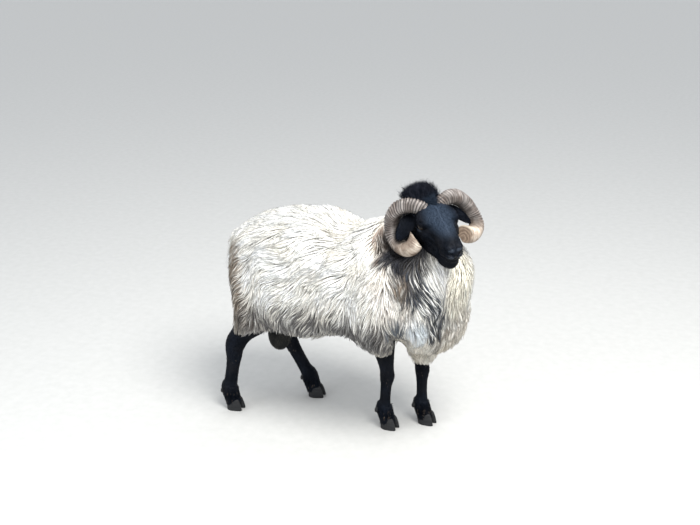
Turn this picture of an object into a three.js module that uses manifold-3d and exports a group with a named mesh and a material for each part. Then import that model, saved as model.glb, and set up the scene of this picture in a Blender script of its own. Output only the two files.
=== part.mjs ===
// A blackface mountain ram standing still, life size, as a museum model: millimetres, +Z up.
// +X runs from the rump to the chest, +Y is the animal's left, and the hooves stand on z = 0.
// The woolly parts are solids of the fleece's outer shape, out to the tips of the locks.
// The flesh is written as distance fields, joined smoothly, meshed and then parted by thin flat cuts.
import * as THREE from "three";
import { mergeVertices } from "three/addons/utils/BufferGeometryUtils.js";
import Module from "manifold-3d";

const wasm = await Module();
wasm.setup();

// ---------------------------------------------------------------- driving dimensions
const GAP = 0.5; // between neighbouring pieces
const BACK_TOP = 719; // fleece tips over the back
const BELLY = 300; // fleece tips under the belly
const RUMP_X = -311; // rearmost fleece
const CHEST_X = 450; // foremost fleece of the trunk
const TRUNK_HALF_WIDTH = 222;
const FORE_TURN = 16; // degrees that the forequarters turn to the right of the pelvis

const HEAD = {
  poll: [368, -92, 840], // the top of the skull between the horns
  turn: -50, // degrees to the left of +X
  pitch: 19, // degrees that the face line drops
  tilt: 9, // degrees that the crown leans to the animal's left
};

const HOOF = { length: 56, width: 25, height: 40, split: 4, spread: 5 }; // one claw; spread in degrees
const DEWCLAW = { radius: 9, tall: 1.3, behind: 19, apart: 12, drop: 8 }; // from the fetlock's middle

// ---------------------------------------------------------------- distance fields
const { min, max, hypot, sqrt, abs, sin, cos, PI, sign } = Math;
const rad = (degrees) => (degrees * PI) / 180;
const mix = (a, b, t) => a + (b - a) * t;
const clamp = (x, low, high) => min(max(x, low), high);
const smooth = (t) => clamp(t, 0, 1) ** 2 * (3 - 2 * clamp(t, 0, 1));

// An ellipsoid, turned about Z by turn degrees and then pitched nose-down by pitch degrees.
function ellipsoid(centre, radii, turn = 0, pitch = 0) {
  const [cx, cy, cz] = centre;
  const [c, s] = [cos(rad(turn)), sin(rad(turn))];
  const [cp, sp] = [cos(rad(pitch)), sin(rad(pitch))];
  const least = min(...radii);
  return (x, y, z) => {
    const along = (x - cx) * c + (y - cy) * s;
    const side = (y - cy) * c - (x - cx) * s;
    const u = along * cp - (z - cz) * sp;
    const w = along * sp + (z - cz) * cp;
    const r = hypot(u / radii[0], side / radii[1], w / radii[2]);
    const slope = hypot(u / radii[0] ** 2, side / radii[1] ** 2, w / radii[2] ** 2);
    return r < 1e-6 ? -least : (r * (r - 1)) / slope;
  };
}

// A limb from a to b with the radius ra at a and rb at b.
function limb(a, b, ra, rb) {
  const d = b.map((v, i) => v - a[i]);
  const length2 = d[0] ** 2 + d[1] ** 2 + d[2] ** 2;
  return (x, y, z) => {
    const [px, py, pz] = [x - a[0], y - a[1], z - a[2]];
    const t = clamp((px * d[0] + py * d[1] + pz * d[2]) / length2, 0, 1);
    return hypot(px - d[0] * t, py - d[1] * t, pz - d[2] * t) - mix(ra, rb, t);
  };
}

// A chain of limbs through named stations, each { at, r }.
const chain = (blend, ...stations) =>
  union(blend, ...stations.slice(1).map((s, i) => limb(stations[i].at, s.at, stations[i].r, s.r)));

// The smooth union of fields, which fills their creases to about the depth blend / 4.
function union(blend, ...fields) {
  return (x, y, z) => {
    let d = fields[0](x, y, z);
    for (let i = 1; i < fields.length; i++) {
      const e = fields[i](x, y, z);
      const h = max(blend - abs(d - e), 0) / blend;
      d = min(d, e) - (h * h * blend) / 4;
    }
    return d;
  };
}

// ---------------------------------------------------------------- meshes from fields
// Surface nets: one vertex in each cell that the surface crosses, drawn onto the surface.
function netOf(field, low, high, cell) {
  const n = low.map((v, i) => Math.ceil((high[i] - v) / cell) + 1);
  const index = (i, j, k) => i + n[0] * (j + n[1] * k);
  const value = new Float64Array(n[0] * n[1] * n[2]);
  for (let k = 0; k < n[2]; k++)
    for (let j = 0; j < n[1]; j++)
      for (let i = 0; i < n[0]; i++)
        value[index(i, j, k)] = field(low[0] + i * cell, low[1] + j * cell, low[2] + k * cell);
  const corners = [0, 1, 2, 3, 4, 5, 6, 7].map((c) => [c & 1, (c >> 1) & 1, c >> 2]);
  const edges = corners.flatMap((a, p) =>
    corners.slice(p + 1).filter((b) => abs(a[0] - b[0]) + abs(a[1] - b[1]) + abs(a[2] - b[2]) === 1)
      .map((b) => [a, b]));
  const points = [];
  const vertexOf = new Map();
  const at = (i, j, k) => value[index(i, j, k)];
  for (let k = 0; k < n[2] - 1; k++)
    for (let j = 0; j < n[1] - 1; j++)
      for (let i = 0; i < n[0] - 1; i++) {
        const sum = [0, 0, 0, 0];
        for (const [a, b] of edges) {
          const va = at(i + a[0], j + a[1], k + a[2]);
          const vb = at(i + b[0], j + b[1], k + b[2]);
          if (va < 0 === vb < 0) continue;
          const t = va / (va - vb);
          [i, j, k].forEach((o, axis) => (sum[axis] += o + mix(a[axis], b[axis], t)));
          sum[3]++;
        }
        if (!sum[3]) continue;
        vertexOf.set(index(i, j, k), points.length);
        points.push(settle(field, low.map((v, axis) => v + (sum[axis] / sum[3]) * cell), cell / 2));
      }
  const faces = [];
  const quad = (inside, ...cells) => {
    const [a, b, c, d] = cells.map((ijk) => vertexOf.get(index(...ijk)));
    faces.push(...(inside ? [a, b, c, a, c, d] : [a, c, b, a, d, c]));
  };
  for (let k = 1; k < n[2] - 1; k++)
    for (let j = 1; j < n[1] - 1; j++)
      for (let i = 1; i < n[0] - 1; i++) {
        const here = at(i, j, k) < 0;
        if (here !== at(i + 1, j, k) < 0)
          quad(here, [i, j - 1, k - 1], [i, j, k - 1], [i, j, k], [i, j - 1, k]);
        if (here !== at(i, j + 1, k) < 0)
          quad(here, [i - 1, j, k - 1], [i - 1, j, k], [i, j, k], [i, j, k - 1]);
        if (here !== at(i, j, k + 1) < 0)
          quad(here, [i - 1, j - 1, k], [i, j - 1, k], [i, j, k], [i - 1, j, k]);
      }
  return geometryOf(points, faces);
}

// Moves a point onto the surface down the field's slope, by no more than reach.
function settle(field, point, reach) {
  let p = point;
  for (let step = 0; step < 4; step++) {
    const d = field(...p);
    const g = [0, 1, 2].map((axis) => {
      const q = [...p];
      q[axis] += 0.5;
      return (field(...q) - d) / 0.5;
    });
    const g2 = g[0] ** 2 + g[1] ** 2 + g[2] ** 2;
    const next = p.map((v, axis) => v - (d * g[axis]) / max(g2, 0.25));
    if (hypot(...next.map((v, axis) => v - point[axis])) > reach) break;
    p = next;
  }
  return p;
}

function geometryOf(points, faces) {
  const geometry = new THREE.BufferGeometry();
  geometry.setAttribute("position", new THREE.Float32BufferAttribute(points.flat(), 3));
  geometry.setIndex(faces);
  return geometry;
}

// A closed loft through rings of points, with flat ends.
function loft(rings) {
  const sides = rings[0].length;
  const points = rings.flat();
  const faces = [];
  for (let r = 0; r < rings.length - 1; r++)
    for (let s = 0; s < sides; s++) {
      const [a, b] = [r * sides + s, r * sides + ((s + 1) % sides)];
      faces.push(a, b, b + sides, a, b + sides, a + sides);
    }
  for (const [r, outward] of [[0, false], [rings.length - 1, true]]) {
    const centre = [0, 1, 2].map((axis) => rings[r].reduce((sum, p) => sum + p[axis], 0) / sides);
    points.push(centre);
    for (let s = 0; s < sides; s++) {
      const [a, b] = [r * sides + s, r * sides + ((s + 1) % sides)];
      faces.push(...(outward ? [a, b, points.length - 1] : [b, a, points.length - 1]));
    }
  }
  return geometryOf(points, faces);
}

// ---------------------------------------------------------------- solids
function solidOf(geometry) {
  const bare = geometry.clone();
  bare.deleteAttribute("normal");
  bare.deleteAttribute("uv");
  const merged = mergeVertices(bare, 1e-3);
  return new wasm.Manifold(new wasm.Mesh({
    numProp: 3,
    vertProperties: new Float32Array(merged.attributes.position.array),
    triVerts: new Uint32Array(merged.index.array),
  }));
}

function meshOf(name, solid, material) {
  const body = solid.decompose().sort((a, b) => b.volume() - a.volume())[0];
  const { vertProperties, triVerts } = body.getMesh();
  const geometry = new THREE.BufferGeometry();
  geometry.setAttribute("position", new THREE.BufferAttribute(vertProperties, 3));
  geometry.setIndex(new THREE.BufferAttribute(triVerts, 1));
  geometry.computeVertexNormals();
  const mesh = new THREE.Mesh(geometry, material);
  mesh.name = name;
  return mesh;
}

// The half space in front of the plane through point, facing normal, as a big solid block.
function halfSpace(point, normal) {
  const SIZE = 3000;
  const block = new THREE.BoxGeometry(SIZE, SIZE, SIZE);
  block.translate(0, 0, SIZE / 2);
  const turn = new THREE.Quaternion().setFromUnitVectors(
    new THREE.Vector3(0, 0, 1), new THREE.Vector3(...normal).normalize());
  block.applyQuaternion(turn);
  block.translate(...point);
  return solidOf(block);
}

// Parts a solid by a plane, [in front, behind], with half the gap taken from each side.
function part(solid, point, normal) {
  const n = new THREE.Vector3(...normal).normalize();
  const shifted = (by) => point.map((v, axis) => v + n.getComponent(axis) * by);
  const back = n.clone().negate();
  return [
    solid.intersect(halfSpace(shifted(GAP / 2), n.toArray())),
    solid.intersect(halfSpace(shifted(-GAP / 2), back.toArray())),
  ];
}

// ---------------------------------------------------------------- materials
const paint = (color, roughness) => new THREE.MeshStandardMaterial({ color, roughness, metalness: 0 });
const WOOL = paint(0xd9d2c2, 0.95);
const DARK_WOOL = paint(0x4a4542, 0.95);
const HAIR = paint(0x17171b, 0.7);
const HORN = paint(0xa8937c, 0.6);
const CLAW = paint(0x3a342f, 0.55);
const EYE = paint(0x8a7648, 0.15);
const SKIN = paint(0x6f665c, 0.85);

const ram = new THREE.Group();

// ---------------------------------------------------------------- feet and legs
// Each leg is { hoof: [x, y] under the fetlock's middle, toe: degrees that the toe points
// left of +X, sleeve: the height where the fleece ends, ahead: how far the leg's upper part reaches
// in front of it, stations: its joints from the foot up as [x, y, z, fore-aft radius, side radius] }.
const FORE = { fetlock: 74, knee: 190, sleeve: 262 };
const HIND = { fetlock: 78, hock: 252, sleeve: 290 };

const LEGS = {
  fore_right: {
    hoof: [248, -38], toe: -12, sleeve: FORE.sleeve + 26, ahead: 50,
    stations: [
      [244, -38, 22, 26, 25], [231, -38, FORE.fetlock, 25, 23], [234, -40, 98, 18, 17],
      [238, -44, 150, 18, 17.5], [242, -47, FORE.knee, 23, 21.5], [242, -52, 222, 23, 21],
      [238, -62, 272, 31, 28], [230, -80, 350, 48, 42],
    ],
  },
  fore_left: {
    hoof: [356, 36], toe: -14, sleeve: FORE.sleeve - 33, ahead: 92,
    stations: [
      [351, 36, 22, 26, 25], [337, 36, FORE.fetlock, 25, 23], [338, 37, 98, 18, 17],
      [337, 39, 150, 18, 17.5], [336, 41, FORE.knee, 23, 21.5], [331, 44, 222, 23, 21],
      [322, 50, 272, 31, 28], [302, 62, 350, 48, 42],
    ],
  },
  hind_right: {
    hoof: [-294, -92], toe: -4, sleeve: HIND.sleeve + 8, ahead: 120,
    stations: [
      [-298, -92, 22, 27, 25], [-311, -92, HIND.fetlock, 28, 24], [-305, -92, 108, 23, 19],
      [-293, -92, 180, 24, 20], [-284, -92, HIND.hock - 10, 34, 24], [-255, -94, 290, 37, 27],
      [-218, -98, 338, 54, 38],
    ],
  },
  hind_left: {
    hoof: [-66, 92], toe: 2, sleeve: HIND.sleeve + 4, ahead: 120,
    stations: [
      [-72, 92, 22, 27, 25], [-90, 92, HIND.fetlock, 28, 24], [-109, 92, 108, 23, 19],
      [-152, 93, 180, 25, 20], [-192, 94, HIND.hock - 6, 38, 24], [-182, 96, 290, 41, 27],
      [-146, 98, 338, 54, 38],
    ],
  },
};

// The leg as rings square to its own line, smoothed through its stations.
function legSolid({ stations }, sides = 10, rings = 10) {
  const line = new THREE.CatmullRomCurve3(stations.map(([x, y, z]) => new THREE.Vector3(x, y, z)));
  const girth = new THREE.CatmullRomCurve3(stations.map(([, , , f, s]) => new THREE.Vector3(f, s, 0)));
  return solidOf(loft(Array.from({ length: rings }, (_, r) => {
    const t = r / (rings - 1);
    const [at, tangent, radii] = [line.getPoint(t), line.getTangent(t), girth.getPoint(t)];
    const side = new THREE.Vector3(0, 1, 0);
    const fore = side.clone().cross(tangent).normalize();
    return Array.from({ length: sides }, (_, s) => {
      const a = (2 * PI * s) / sides;
      return at.clone().addScaledVector(fore, radii.x * cos(a)).addScaledVector(side, radii.y * sin(a))
        .toArray();
    });
  })));
}

// One claw of a cloven hoof, toe towards +x, its inner wall along y = 0: rings from the flat sole
// up to the coronet, which slopes down to the heel.
function clawSolid(outward) {
  const SIDES = 12;
  const levels = [
    { z: 0, reach: 1, back: 1, wide: 1 },
    { z: 0.45, reach: 0.84, back: 1.02, wide: 0.97 },
    { z: 1, reach: 0.56, back: 1.0, wide: 0.86 },
  ];
  const toeReach = HOOF.length * 0.62;
  const heelReach = HOOF.length * 0.38;
  return levels.map(({ z, reach, back, wide }) => Array.from({ length: SIDES }, (_, s) => {
    const a = (2 * PI * (s + 0.5)) / SIDES;
    const x = cos(a) > 0 ? cos(a) * toeReach * reach : cos(a) * heelReach * back;
    const taper = 1 - 0.35 * max(x / toeReach, 0);
    const y = (HOOF.width / 2) * (1 + sign(sin(a)) * abs(sin(a)) ** 0.8) * wide * taper;
    const slope = 1 + 0.16 * (x / toeReach);
    return [x, outward * (y + HOOF.split / 2), z * HOOF.height * slope];
  }));
}

const clawTop = HOOF.height * 0.86;

function addLeg(name, leg) {
  const [side, other] = leg.hoof[1] > 0 ? ["outer", "inner"] : ["inner", "outer"];
  const turn = new THREE.Matrix4().makeRotationZ(rad(leg.toe)).setPosition(...leg.hoof, 0);
  const coronet = [[leg.hoof[0], leg.hoof[1], clawTop], [-0.22, 0, 1]];
  const claws = {};
  for (const [which, outward] of [[side, 1], [other, -1]]) {
    const open = new THREE.Matrix4().makeRotationZ(rad(outward * HOOF.spread));
    const rings = clawSolid(outward);
    if (outward < 0) rings.forEach((ring) => ring.reverse());
    const solid = solidOf(loft(rings).applyMatrix4(open).applyMatrix4(turn));
    claws[which] = part(solid, ...coronet)[1];
    ram.add(meshOf(`${name}_claw_${which}`, claws[which], CLAW));
  }
  let shin = part(legSolid(leg), ...coronet)[0];
  shin = part(shin, [0, 0, leg.sleeve], [0, 0, 1])[1];
  for (const [which, outward] of [[side, 1], [other, -1]]) {
    const [x, y, z] = leg.stations[1];
    const spur = (grow) => solidOf(new THREE.IcosahedronGeometry(DEWCLAW.radius + grow, 0)
      .scale(0.8, 0.8, DEWCLAW.tall)
      .translate(x - DEWCLAW.behind, y + outward * DEWCLAW.apart, z - DEWCLAW.drop));
    ram.add(meshOf(`${name}_dewclaw_${which}`, spur(0).subtract(shin), CLAW));
    shin = shin.subtract(spur(GAP));
  }
  ram.add(meshOf(`${name}_shin`, shin, HAIR));
}

// ---------------------------------------------------------------- the fleece's outer shape
// The trunk is a rounded barrel along a line that bends to the right towards the chest.
const TRUNK = { middle: (RUMP_X + CHEST_X) / 2, half: (CHEST_X - RUMP_X) / 2, round: 2.7, square: 3.6 };
const DIP = { at: 125, reach: 130, depth: 36 }; // behind the withers
const TUCK = { at: 110, reach: 130, height: 28 }; // the underside's rise behind the elbows

// How far the trunk's middle line lies to the left of the X axis at x.
function sideways(x) {
  const BEND_FROM = 60;
  const beyond = max(x - BEND_FROM, 0);
  return -0.5 * Math.tan(rad(FORE_TURN)) * beyond * smooth(beyond / 260) * 1.3;
}

function barrel(x, y, z) {
  const t = (x - TRUNK.middle) / TRUNK.half;
  const front = smooth((t + 0.1) / 0.9);
  const rear = smooth((-t - 0.35) / 0.65);
  const top = BACK_TOP - 26 * front - DIP.depth * smooth(1 - abs(x - DIP.at) / DIP.reach);
  const bottom = BELLY + 8 * front + 62 * rear + TUCK.height * smooth(1 - abs(x - TUCK.at) / TUCK.reach);
  const width = TRUNK_HALF_WIDTH - 16 * front - 18 * rear;
  const [middle, tall] = [(top + bottom) / 2, (top - bottom) / 2];
  const side = (y - sideways(x)) / width;
  const up = (z - middle) / tall;
  const along = abs(t) ** (t < 0 ? TRUNK.square : TRUNK.round);
  const r = (along + abs(side) ** TRUNK.round + abs(up) ** TRUNK.round) ** (1 / TRUNK.round);
  return (r - 1) * 200;
}

const fleece = union(70,
  barrel,
  // withers, shoulders and the deep brisket between and before the forelegs
  ellipsoid([240, -98, 480], [108, 106, 165], -16, -6),
  ellipsoid([275, 62, 455], [118, 110, 170], -16, -4),
  ellipsoid([388, -14, 422], [110, 122, 132], -22, 0),
  // the neck and its ruff
  limb([262, -34, 540], [345, -86, 770], 148, 62),
  ellipsoid([220, -44, 636], [104, 78, 100], -20, -12),
  ellipsoid([403, -80, 592], [110, 128, 138], -30, 0),
  ellipsoid([354, -88, 822], [40, 48, 44], -50, 0), // the tuft on the poll
);

const breech = (y, x, foot) => chain(40,
  { at: [x, y * 0.9, 480], r: 100 },
  { at: [mix(x, foot[0], 0.2), y, 396], r: 78 },
  { at: [foot[0], foot[1], foot[2]], r: 42 },
);
const sleeve = (top, bottom, r) => chain(30, { at: top, r: 72 }, { at: bottom, r });

const wool = union(45,
  fleece,
  breech(-104, -172, [-246, -95, 322]),
  breech(104, -170, [-166, 98, 324]),
  sleeve([250, -84, 410], [238, -62, LEGS.fore_right.sleeve + 26], 48),
  sleeve([326, 56, 400], [334, 52, LEGS.fore_left.sleeve + 28], 58),
);

// The solid behind all of the planes, each [point, outward normal], grown by grow.
function blockOf(planes, grow = 0) {
  const halves = planes.map(([point, normal]) => {
    const n = new THREE.Vector3(...normal).normalize();
    return halfSpace(point.map((v, axis) => v + n.getComponent(axis) * grow), n.negate().toArray());
  });
  return halves.reduce((a, b) => a.intersect(b));
}

// Takes the stretch behind the planes out of a solid: [that stretch, the rest].
const takeOut = (solid, planes) => [
  solid.intersect(blockOf(planes)),
  solid.subtract(blockOf(planes, GAP)),
];

// ---------------------------------------------------------------- the head
// The head's own frame has the poll at the origin, +x along the face to the nose, +y to the
// animal's left and +z up from the brow.
const headPlace = new THREE.Matrix4().makeRotationZ(rad(HEAD.turn))
  .multiply(new THREE.Matrix4().makeRotationY(rad(HEAD.pitch)))
  .multiply(new THREE.Matrix4().makeRotationX(rad(HEAD.tilt)))
  .setPosition(...HEAD.poll);

const pair = (make) => [make(1), make(-1)];

const headField = union(22,
  ellipsoid([46, 0, -52], [58, 50, 50]), // cranium
  ellipsoid([76, 0, -33], [52, 43, 30]), // forehead
  ...pair((s) => ellipsoid([92, s * 43, -26], [28, 19, 13])), // brows
  ellipsoid([132, 0, -42], [54, 31, 27]), // the arch below the brows
  ...pair((s) => ellipsoid([94, s * 37, -66], [38, 19, 17])), // cheekbones
  limb([90, 0, -42], [186, 0, -52], 37, 28), // bridge of the nose
  ...pair((s) => ellipsoid([92, s * 30, -84], [58, 26, 44])), // cheeks
  ...pair((s) => limb([62, s * 28, -108], [172, s * 10, -112], 25, 19)), // jaw
  ellipsoid([192, 0, -72], [32, 29, 36]), // muzzle
  ellipsoid([210, 0, -60], [18, 20, 18]), // nose
  ellipsoid([189, 0, -116], [27, 22, 20]), // chin
);

const EYE_BALL = { at: [96, 48, -43], radius: 14.5 };

const eyeSolid = (s, grow = 0) => solidOf(new THREE.SphereGeometry(EYE_BALL.radius + grow, 12, 8)
  .translate(EYE_BALL.at[0], s * EYE_BALL.at[1], EYE_BALL.at[2]));

// A horn coils about an axis that points out to the side, yawed towards the nose and rolled up
// at its outer end. Its turn runs from the face line up over the poll, back, down and forward
// below the ear, while it moves outward. out is how far out the base and the tip lie, rise
// how soon it gets there, and curl how far the tip comes back in.
// deep and wide are half the section, across and along the axis, at the base and at the tip.
const HORNS = {
  right: {
    s: -1, from: 75, to: 339, hub: [11, -70], radius: [56, 60], out: [46, 134], rise: 1.35, curl: 20,
    yaw: -26, roll: 1, deep: [21, 23], wide: [20, 24], sawn: { normal: [-0.045, 0.89, 0.454], at: -104 },
  },
  left: {
    s: 1, from: 88, to: 328, hub: [23, -78], radius: [58, 55], out: [46, 154], rise: 1.8, curl: 42,
    yaw: -28, roll: 10, deep: [22, 26], wide: [19, 23], sawn: { normal: [0.38, -0.72, 0.58], at: -68.0 },
  },
};
// The tips are sawn off flat, facing the cheeks: sawn is the plane normal . p = at, and all of the
// tip in front of it goes. Both planes act below and ahead of the limits here.
const SAWN = { below: -45, ahead: 20 };

// Turns a vector from the coil's frame, x forward, y out and z up, to the head's.
function outOfCoil({ s, yaw, roll }, x, y, z) {
  const turned = new THREE.Vector3(x, y, z)
    .applyAxisAngle(new THREE.Vector3(0, 0, 1), rad(yaw))
    .applyAxisAngle(new THREE.Vector3(1, 0, 0), rad(roll));
  return turned.setY(s * turned.y);
}

// The horn's middle at t, from 0 at its base to 1 at its tip.
function hornMiddle(horn, t) {
  const turn = rad(mix(horn.from, horn.to, t));
  const r = mix(...horn.radius, t);
  const way = 1 - max(1 - t, 0) ** horn.rise;
  const out = mix(...horn.out, way) - horn.curl * (max(t - 0.6, 0) / 0.4) ** 2;
  return outOfCoil(horn, r * cos(turn), out, r * sin(turn))
    .add(new THREE.Vector3(horn.hub[0], 0, horn.hub[1]));
}

function hornSolid(horn, grow = 0) {
  const [RINGS, SIDES] = [20, 10];
  const PAST_THE_SAW = 1.15;
  const axis = outOfCoil(horn, 0, 1, 0);
  const hub = new THREE.Vector3(horn.hub[0], 0, horn.hub[1]);
  const rings = Array.from({ length: RINGS }, (_, i) => {
    const t = mix(-0.05 - grow / 300, PAST_THE_SAW + grow / 300, i / (RINGS - 1));
    const at = hornMiddle(horn, t);
    const tangent = hornMiddle(horn, t + 0.01).sub(hornMiddle(horn, t - 0.01)).normalize();
    const away = at.clone().sub(hub);
    away.addScaledVector(axis, -away.dot(axis));
    away.addScaledVector(tangent, -away.dot(tangent)).normalize();
    const side = tangent.clone().cross(away);
    const deep = mix(...horn.deep, t) + grow;
    const wide = mix(...horn.wide, t) + grow;
    return Array.from({ length: SIDES }, (_, k) => {
      const a = (2 * PI * (k + 0.5)) / SIDES;
      return at.clone().addScaledVector(away, deep * cos(a)).addScaledVector(side, wide * sin(a))
        .toArray();
    });
  });
  const normal = new THREE.Vector3(...horn.sawn.normal).normalize();
  const sawn = blockOf([
    [normal.clone().multiplyScalar(horn.sawn.at + grow).toArray(), normal.clone().negate().toArray()],
    [[0, 0, SAWN.below], [0, 0, 1]],
    [[SAWN.ahead, 0, 0], [-1, 0, 0]],
  ]);
  return solidOf(loft(rings)).subtract(sawn);
}

// An ear is a cupped leaf that points out through the horn's coil, a little forward and down.
const EAR = { root: [32, 44, -50], length: 92, width: 21, thick: 9, droop: 20, back: -30 };

function earSolid(s, grow = 0) {
  const [RINGS, SIDES] = [9, 10];
  const turn = new THREE.Matrix4().makeRotationZ(s * rad(90 + EAR.back))
    .multiply(new THREE.Matrix4().makeRotationY(rad(EAR.droop)));
  const rings = Array.from({ length: RINGS }, (_, i) => {
    const t = i / (RINGS - 1);
    const leaf = sqrt(max(1 - (1.25 * t - 0.25) ** 2, 0.012));
    return Array.from({ length: SIDES }, (_, k) => {
      const a = (2 * PI * k) / SIDES;
      const across = (EAR.width * leaf + grow) * cos(a);
      const cup = 7 * (1 - t * 0.4) * (across / EAR.width) ** 2;
      return [t * (EAR.length + grow), across, (EAR.thick * leaf + grow) * sin(a) + cup];
    });
  });
  return solidOf(loft(rings).applyMatrix4(turn).translate(EAR.root[0], s * EAR.root[1], EAR.root[2]));
}

const inWorld = (solid) => solid.transform(headPlace.toArray());
const OCCIPUT = [[20, 0, 0], [-1, 0, 0.1]]; // where the head leaves the wool of the neck
const THROAT = [[0, 0, -150], [0.06, 0, -1]];

// The head's flesh, grown by grow, between the occiput and the throat.
const headBlank = (grow, cell) => solidOf(netOf((x, y, z) => headField(x, y, z) - grow,
  [-60, -130, -200], [280, 130, 70], cell)).intersect(blockOf([OCCIPUT, THROAT], grow));

let headSolid = headBlank(0, 17.5);
for (const s of [1, -1])
  headSolid = headSolid.subtract(eyeSolid(s, GAP)).subtract(earSolid(s, 1));
for (const horn of Object.values(HORNS)) headSolid = headSolid.subtract(hornSolid(horn, 1));

// The fleece keeps clear of the coils of the horns and of the ears in them.
const intoHead = headPlace.clone().invert();
const alley = union(20, ...pair((s) => ellipsoid([36, s * 112, -74], [98, 62, 82], s * 24)));
const besideHorns = (x, y, z) => alley(...new THREE.Vector3(x, y, z).applyMatrix4(intoHead).toArray());
const barewool = union(20, (x, y, z) => -wool(x, y, z), besideHorns);

// The neck's wool, beyond the plane through the shoulders, is meshed more finely than the trunk's.
const SHOULDER_CUT = { at: [282, -40, 600], toTrunk: [-0.78, 0.26, -0.56] };
const toNeck = SHOULDER_CUT.toTrunk.map((v) => -v);
const fleeceBehind = (cell, normal, grow) =>
  solidOf(netOf((x, y, z) => -barewool(x, y, z), [-450, -330, 130], [610, 330, 960], cell))
    .intersect(blockOf([[SHOULDER_CUT.at, normal]], grow));
let neck = fleeceBehind(35, SHOULDER_CUT.toTrunk, 0).subtract(inWorld(headBlank(5, 24)));
for (const s of [1, -1]) neck = neck.subtract(inWorld(earSolid(s, 1.5)));
for (const horn of Object.values(HORNS)) neck = neck.subtract(inWorld(hornSolid(horn, 1.5)));
ram.add(meshOf("neck", neck, DARK_WOOL));

const head = new THREE.Group();
headPlace.decompose(head.position, head.quaternion, head.scale);
head.add(meshOf("head", headSolid, HAIR));
for (const [name, horn] of Object.entries(HORNS)) {
  head.add(meshOf(`horn_${name}`, hornSolid(horn), HORN));
  head.add(meshOf(`ear_${name}`, earSolid(horn.s), HAIR));
  head.add(meshOf(`eye_${name}`, eyeSolid(horn.s), EYE));
}
ram.add(head);

// ---------------------------------------------------------------- tail and scrotum
const TAIL_FLAT = 0.68; // thickness over width
const tailField = chain(20,
  { at: [-288, 0, 592], r: 34 },
  { at: [-300, 2, 500], r: 31 },
  { at: [-296, 4, 380], r: 20 },
);
const tailSolid = (grow) => solidOf(netOf((x, y, z) => tailField(x, y * TAIL_FLAT, z) - grow,
  [-400, -130, 300], [-180, 130, 680], 26));
const scrotumSolid = (grow) => solidOf(new THREE.SphereGeometry(1, 12, 8)
  .scale(42 + grow, 40 + grow, 62 + grow).translate(-158, 0, 268));
ram.add(meshOf("tail", tailSolid(0), WOOL), meshOf("scrotum", scrotumSolid(0), SKIN));

// ---------------------------------------------------------------- trunk and leg tops
// The wool parts between the right foreleg's sleeve and the brisket: everything below a line that
// runs inward and down, as far as width / 2 to each side of it.
const PARTING = { from: [338, -215, 414], to: [256, 35, 282], width: 46, height: 130 };

function partingSolid() {
  const [from, to] = [new THREE.Vector3(...PARTING.from), new THREE.Vector3(...PARTING.to)];
  const along = to.clone().sub(from);
  const turn = Math.atan2(-along.x, along.y);
  const drop = Math.atan2(along.z, hypot(along.x, along.y));
  return solidOf(new THREE.BoxGeometry(PARTING.width, along.length(), PARTING.height)
    .translate(0, 0, -PARTING.height / 2).rotateX(drop).rotateZ(turn)
    .translate(...from.add(to).multiplyScalar(0.5)));
}

let trunk = fleeceBehind(51, toNeck, -GAP)
  .subtract(tailSolid(2)).subtract(scrotumSolid(GAP)).subtract(partingSolid());
for (const [name, leg] of Object.entries(LEGS)) {
  const s = sign(leg.hoof[1]);
  const isFore = name.startsWith("fore");
  const [x, y] = leg.stations[6];
  const [top, rest] = takeOut(trunk, [
    [[isFore ? x - 118 : RUMP_X - 60, 0, 0], [-1, 0, 0]],
    [[x + leg.ahead, 0, 0], [1, 0, 0]],
    [[0, isFore ? y - s * 52 : s * 36, 0], [0, -s, 0]],
    [[x, s * 120, isFore ? 410 : 430], [0, s * -0.45, 1]],
  ]);
  trunk = rest;
  ram.add(meshOf(`${name}_upper`, top.intersect(halfSpace([0, 0, leg.sleeve], [0, 0, 1])), WOOL));
  addLeg(name, leg);
}
ram.add(meshOf("trunk", trunk, WOOL));

// The ram's box is centred over the origin.
const box = new THREE.Box3().setFromObject(ram, true);
const middle = box.getCenter(new THREE.Vector3());
ram.position.set(-middle.x, -middle.y, -box.min.z);

export default ram;
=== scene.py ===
"""A blackface mountain ram: skin, fleece, short hair, horns, claws, eyes, floor, light and camera.

Shapes are worked out in millimetres in the ram's own frame, +x from rump to chest, +y to its left
and +z up, and are moved by SHIFT into the row's frame when they become objects."""

import bmesh
import bpy
import numpy as np
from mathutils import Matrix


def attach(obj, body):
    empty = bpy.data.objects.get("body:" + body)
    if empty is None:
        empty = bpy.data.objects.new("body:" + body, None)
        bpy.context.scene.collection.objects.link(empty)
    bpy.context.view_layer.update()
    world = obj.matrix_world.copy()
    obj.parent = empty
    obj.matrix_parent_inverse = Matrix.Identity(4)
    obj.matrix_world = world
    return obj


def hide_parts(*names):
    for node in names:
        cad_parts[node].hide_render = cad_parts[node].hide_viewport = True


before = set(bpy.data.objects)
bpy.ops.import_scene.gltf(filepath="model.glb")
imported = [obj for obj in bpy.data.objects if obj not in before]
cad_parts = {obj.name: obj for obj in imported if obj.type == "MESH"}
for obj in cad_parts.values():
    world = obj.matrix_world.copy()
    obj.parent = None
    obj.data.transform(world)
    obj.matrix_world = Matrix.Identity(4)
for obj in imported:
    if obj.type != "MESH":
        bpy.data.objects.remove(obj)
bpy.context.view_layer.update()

import openvdb
from mathutils import Matrix, Vector
from mathutils.kdtree import KDTree

SHIFT = np.array([-100.530, 12.282, 0.0])
PI = np.pi


# ------------------------------------------------------------------ small helpers
def cosd(a):
    """The cosine of an angle in degrees."""
    return np.cos(np.radians(a))


def sind(a):
    return np.sin(np.radians(a))


def mix(a, b, t):
    return a + (b - a) * t


def smooth(t):
    t = np.clip(t, 0, 1)
    return t * t * (3 - 2 * t)


def circle(sides, start=0.0):
    """A row of angles evenly round a circle, the first one start of a step along."""
    return 2 * PI * (np.arange(sides)[None] + start) / sides


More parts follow.
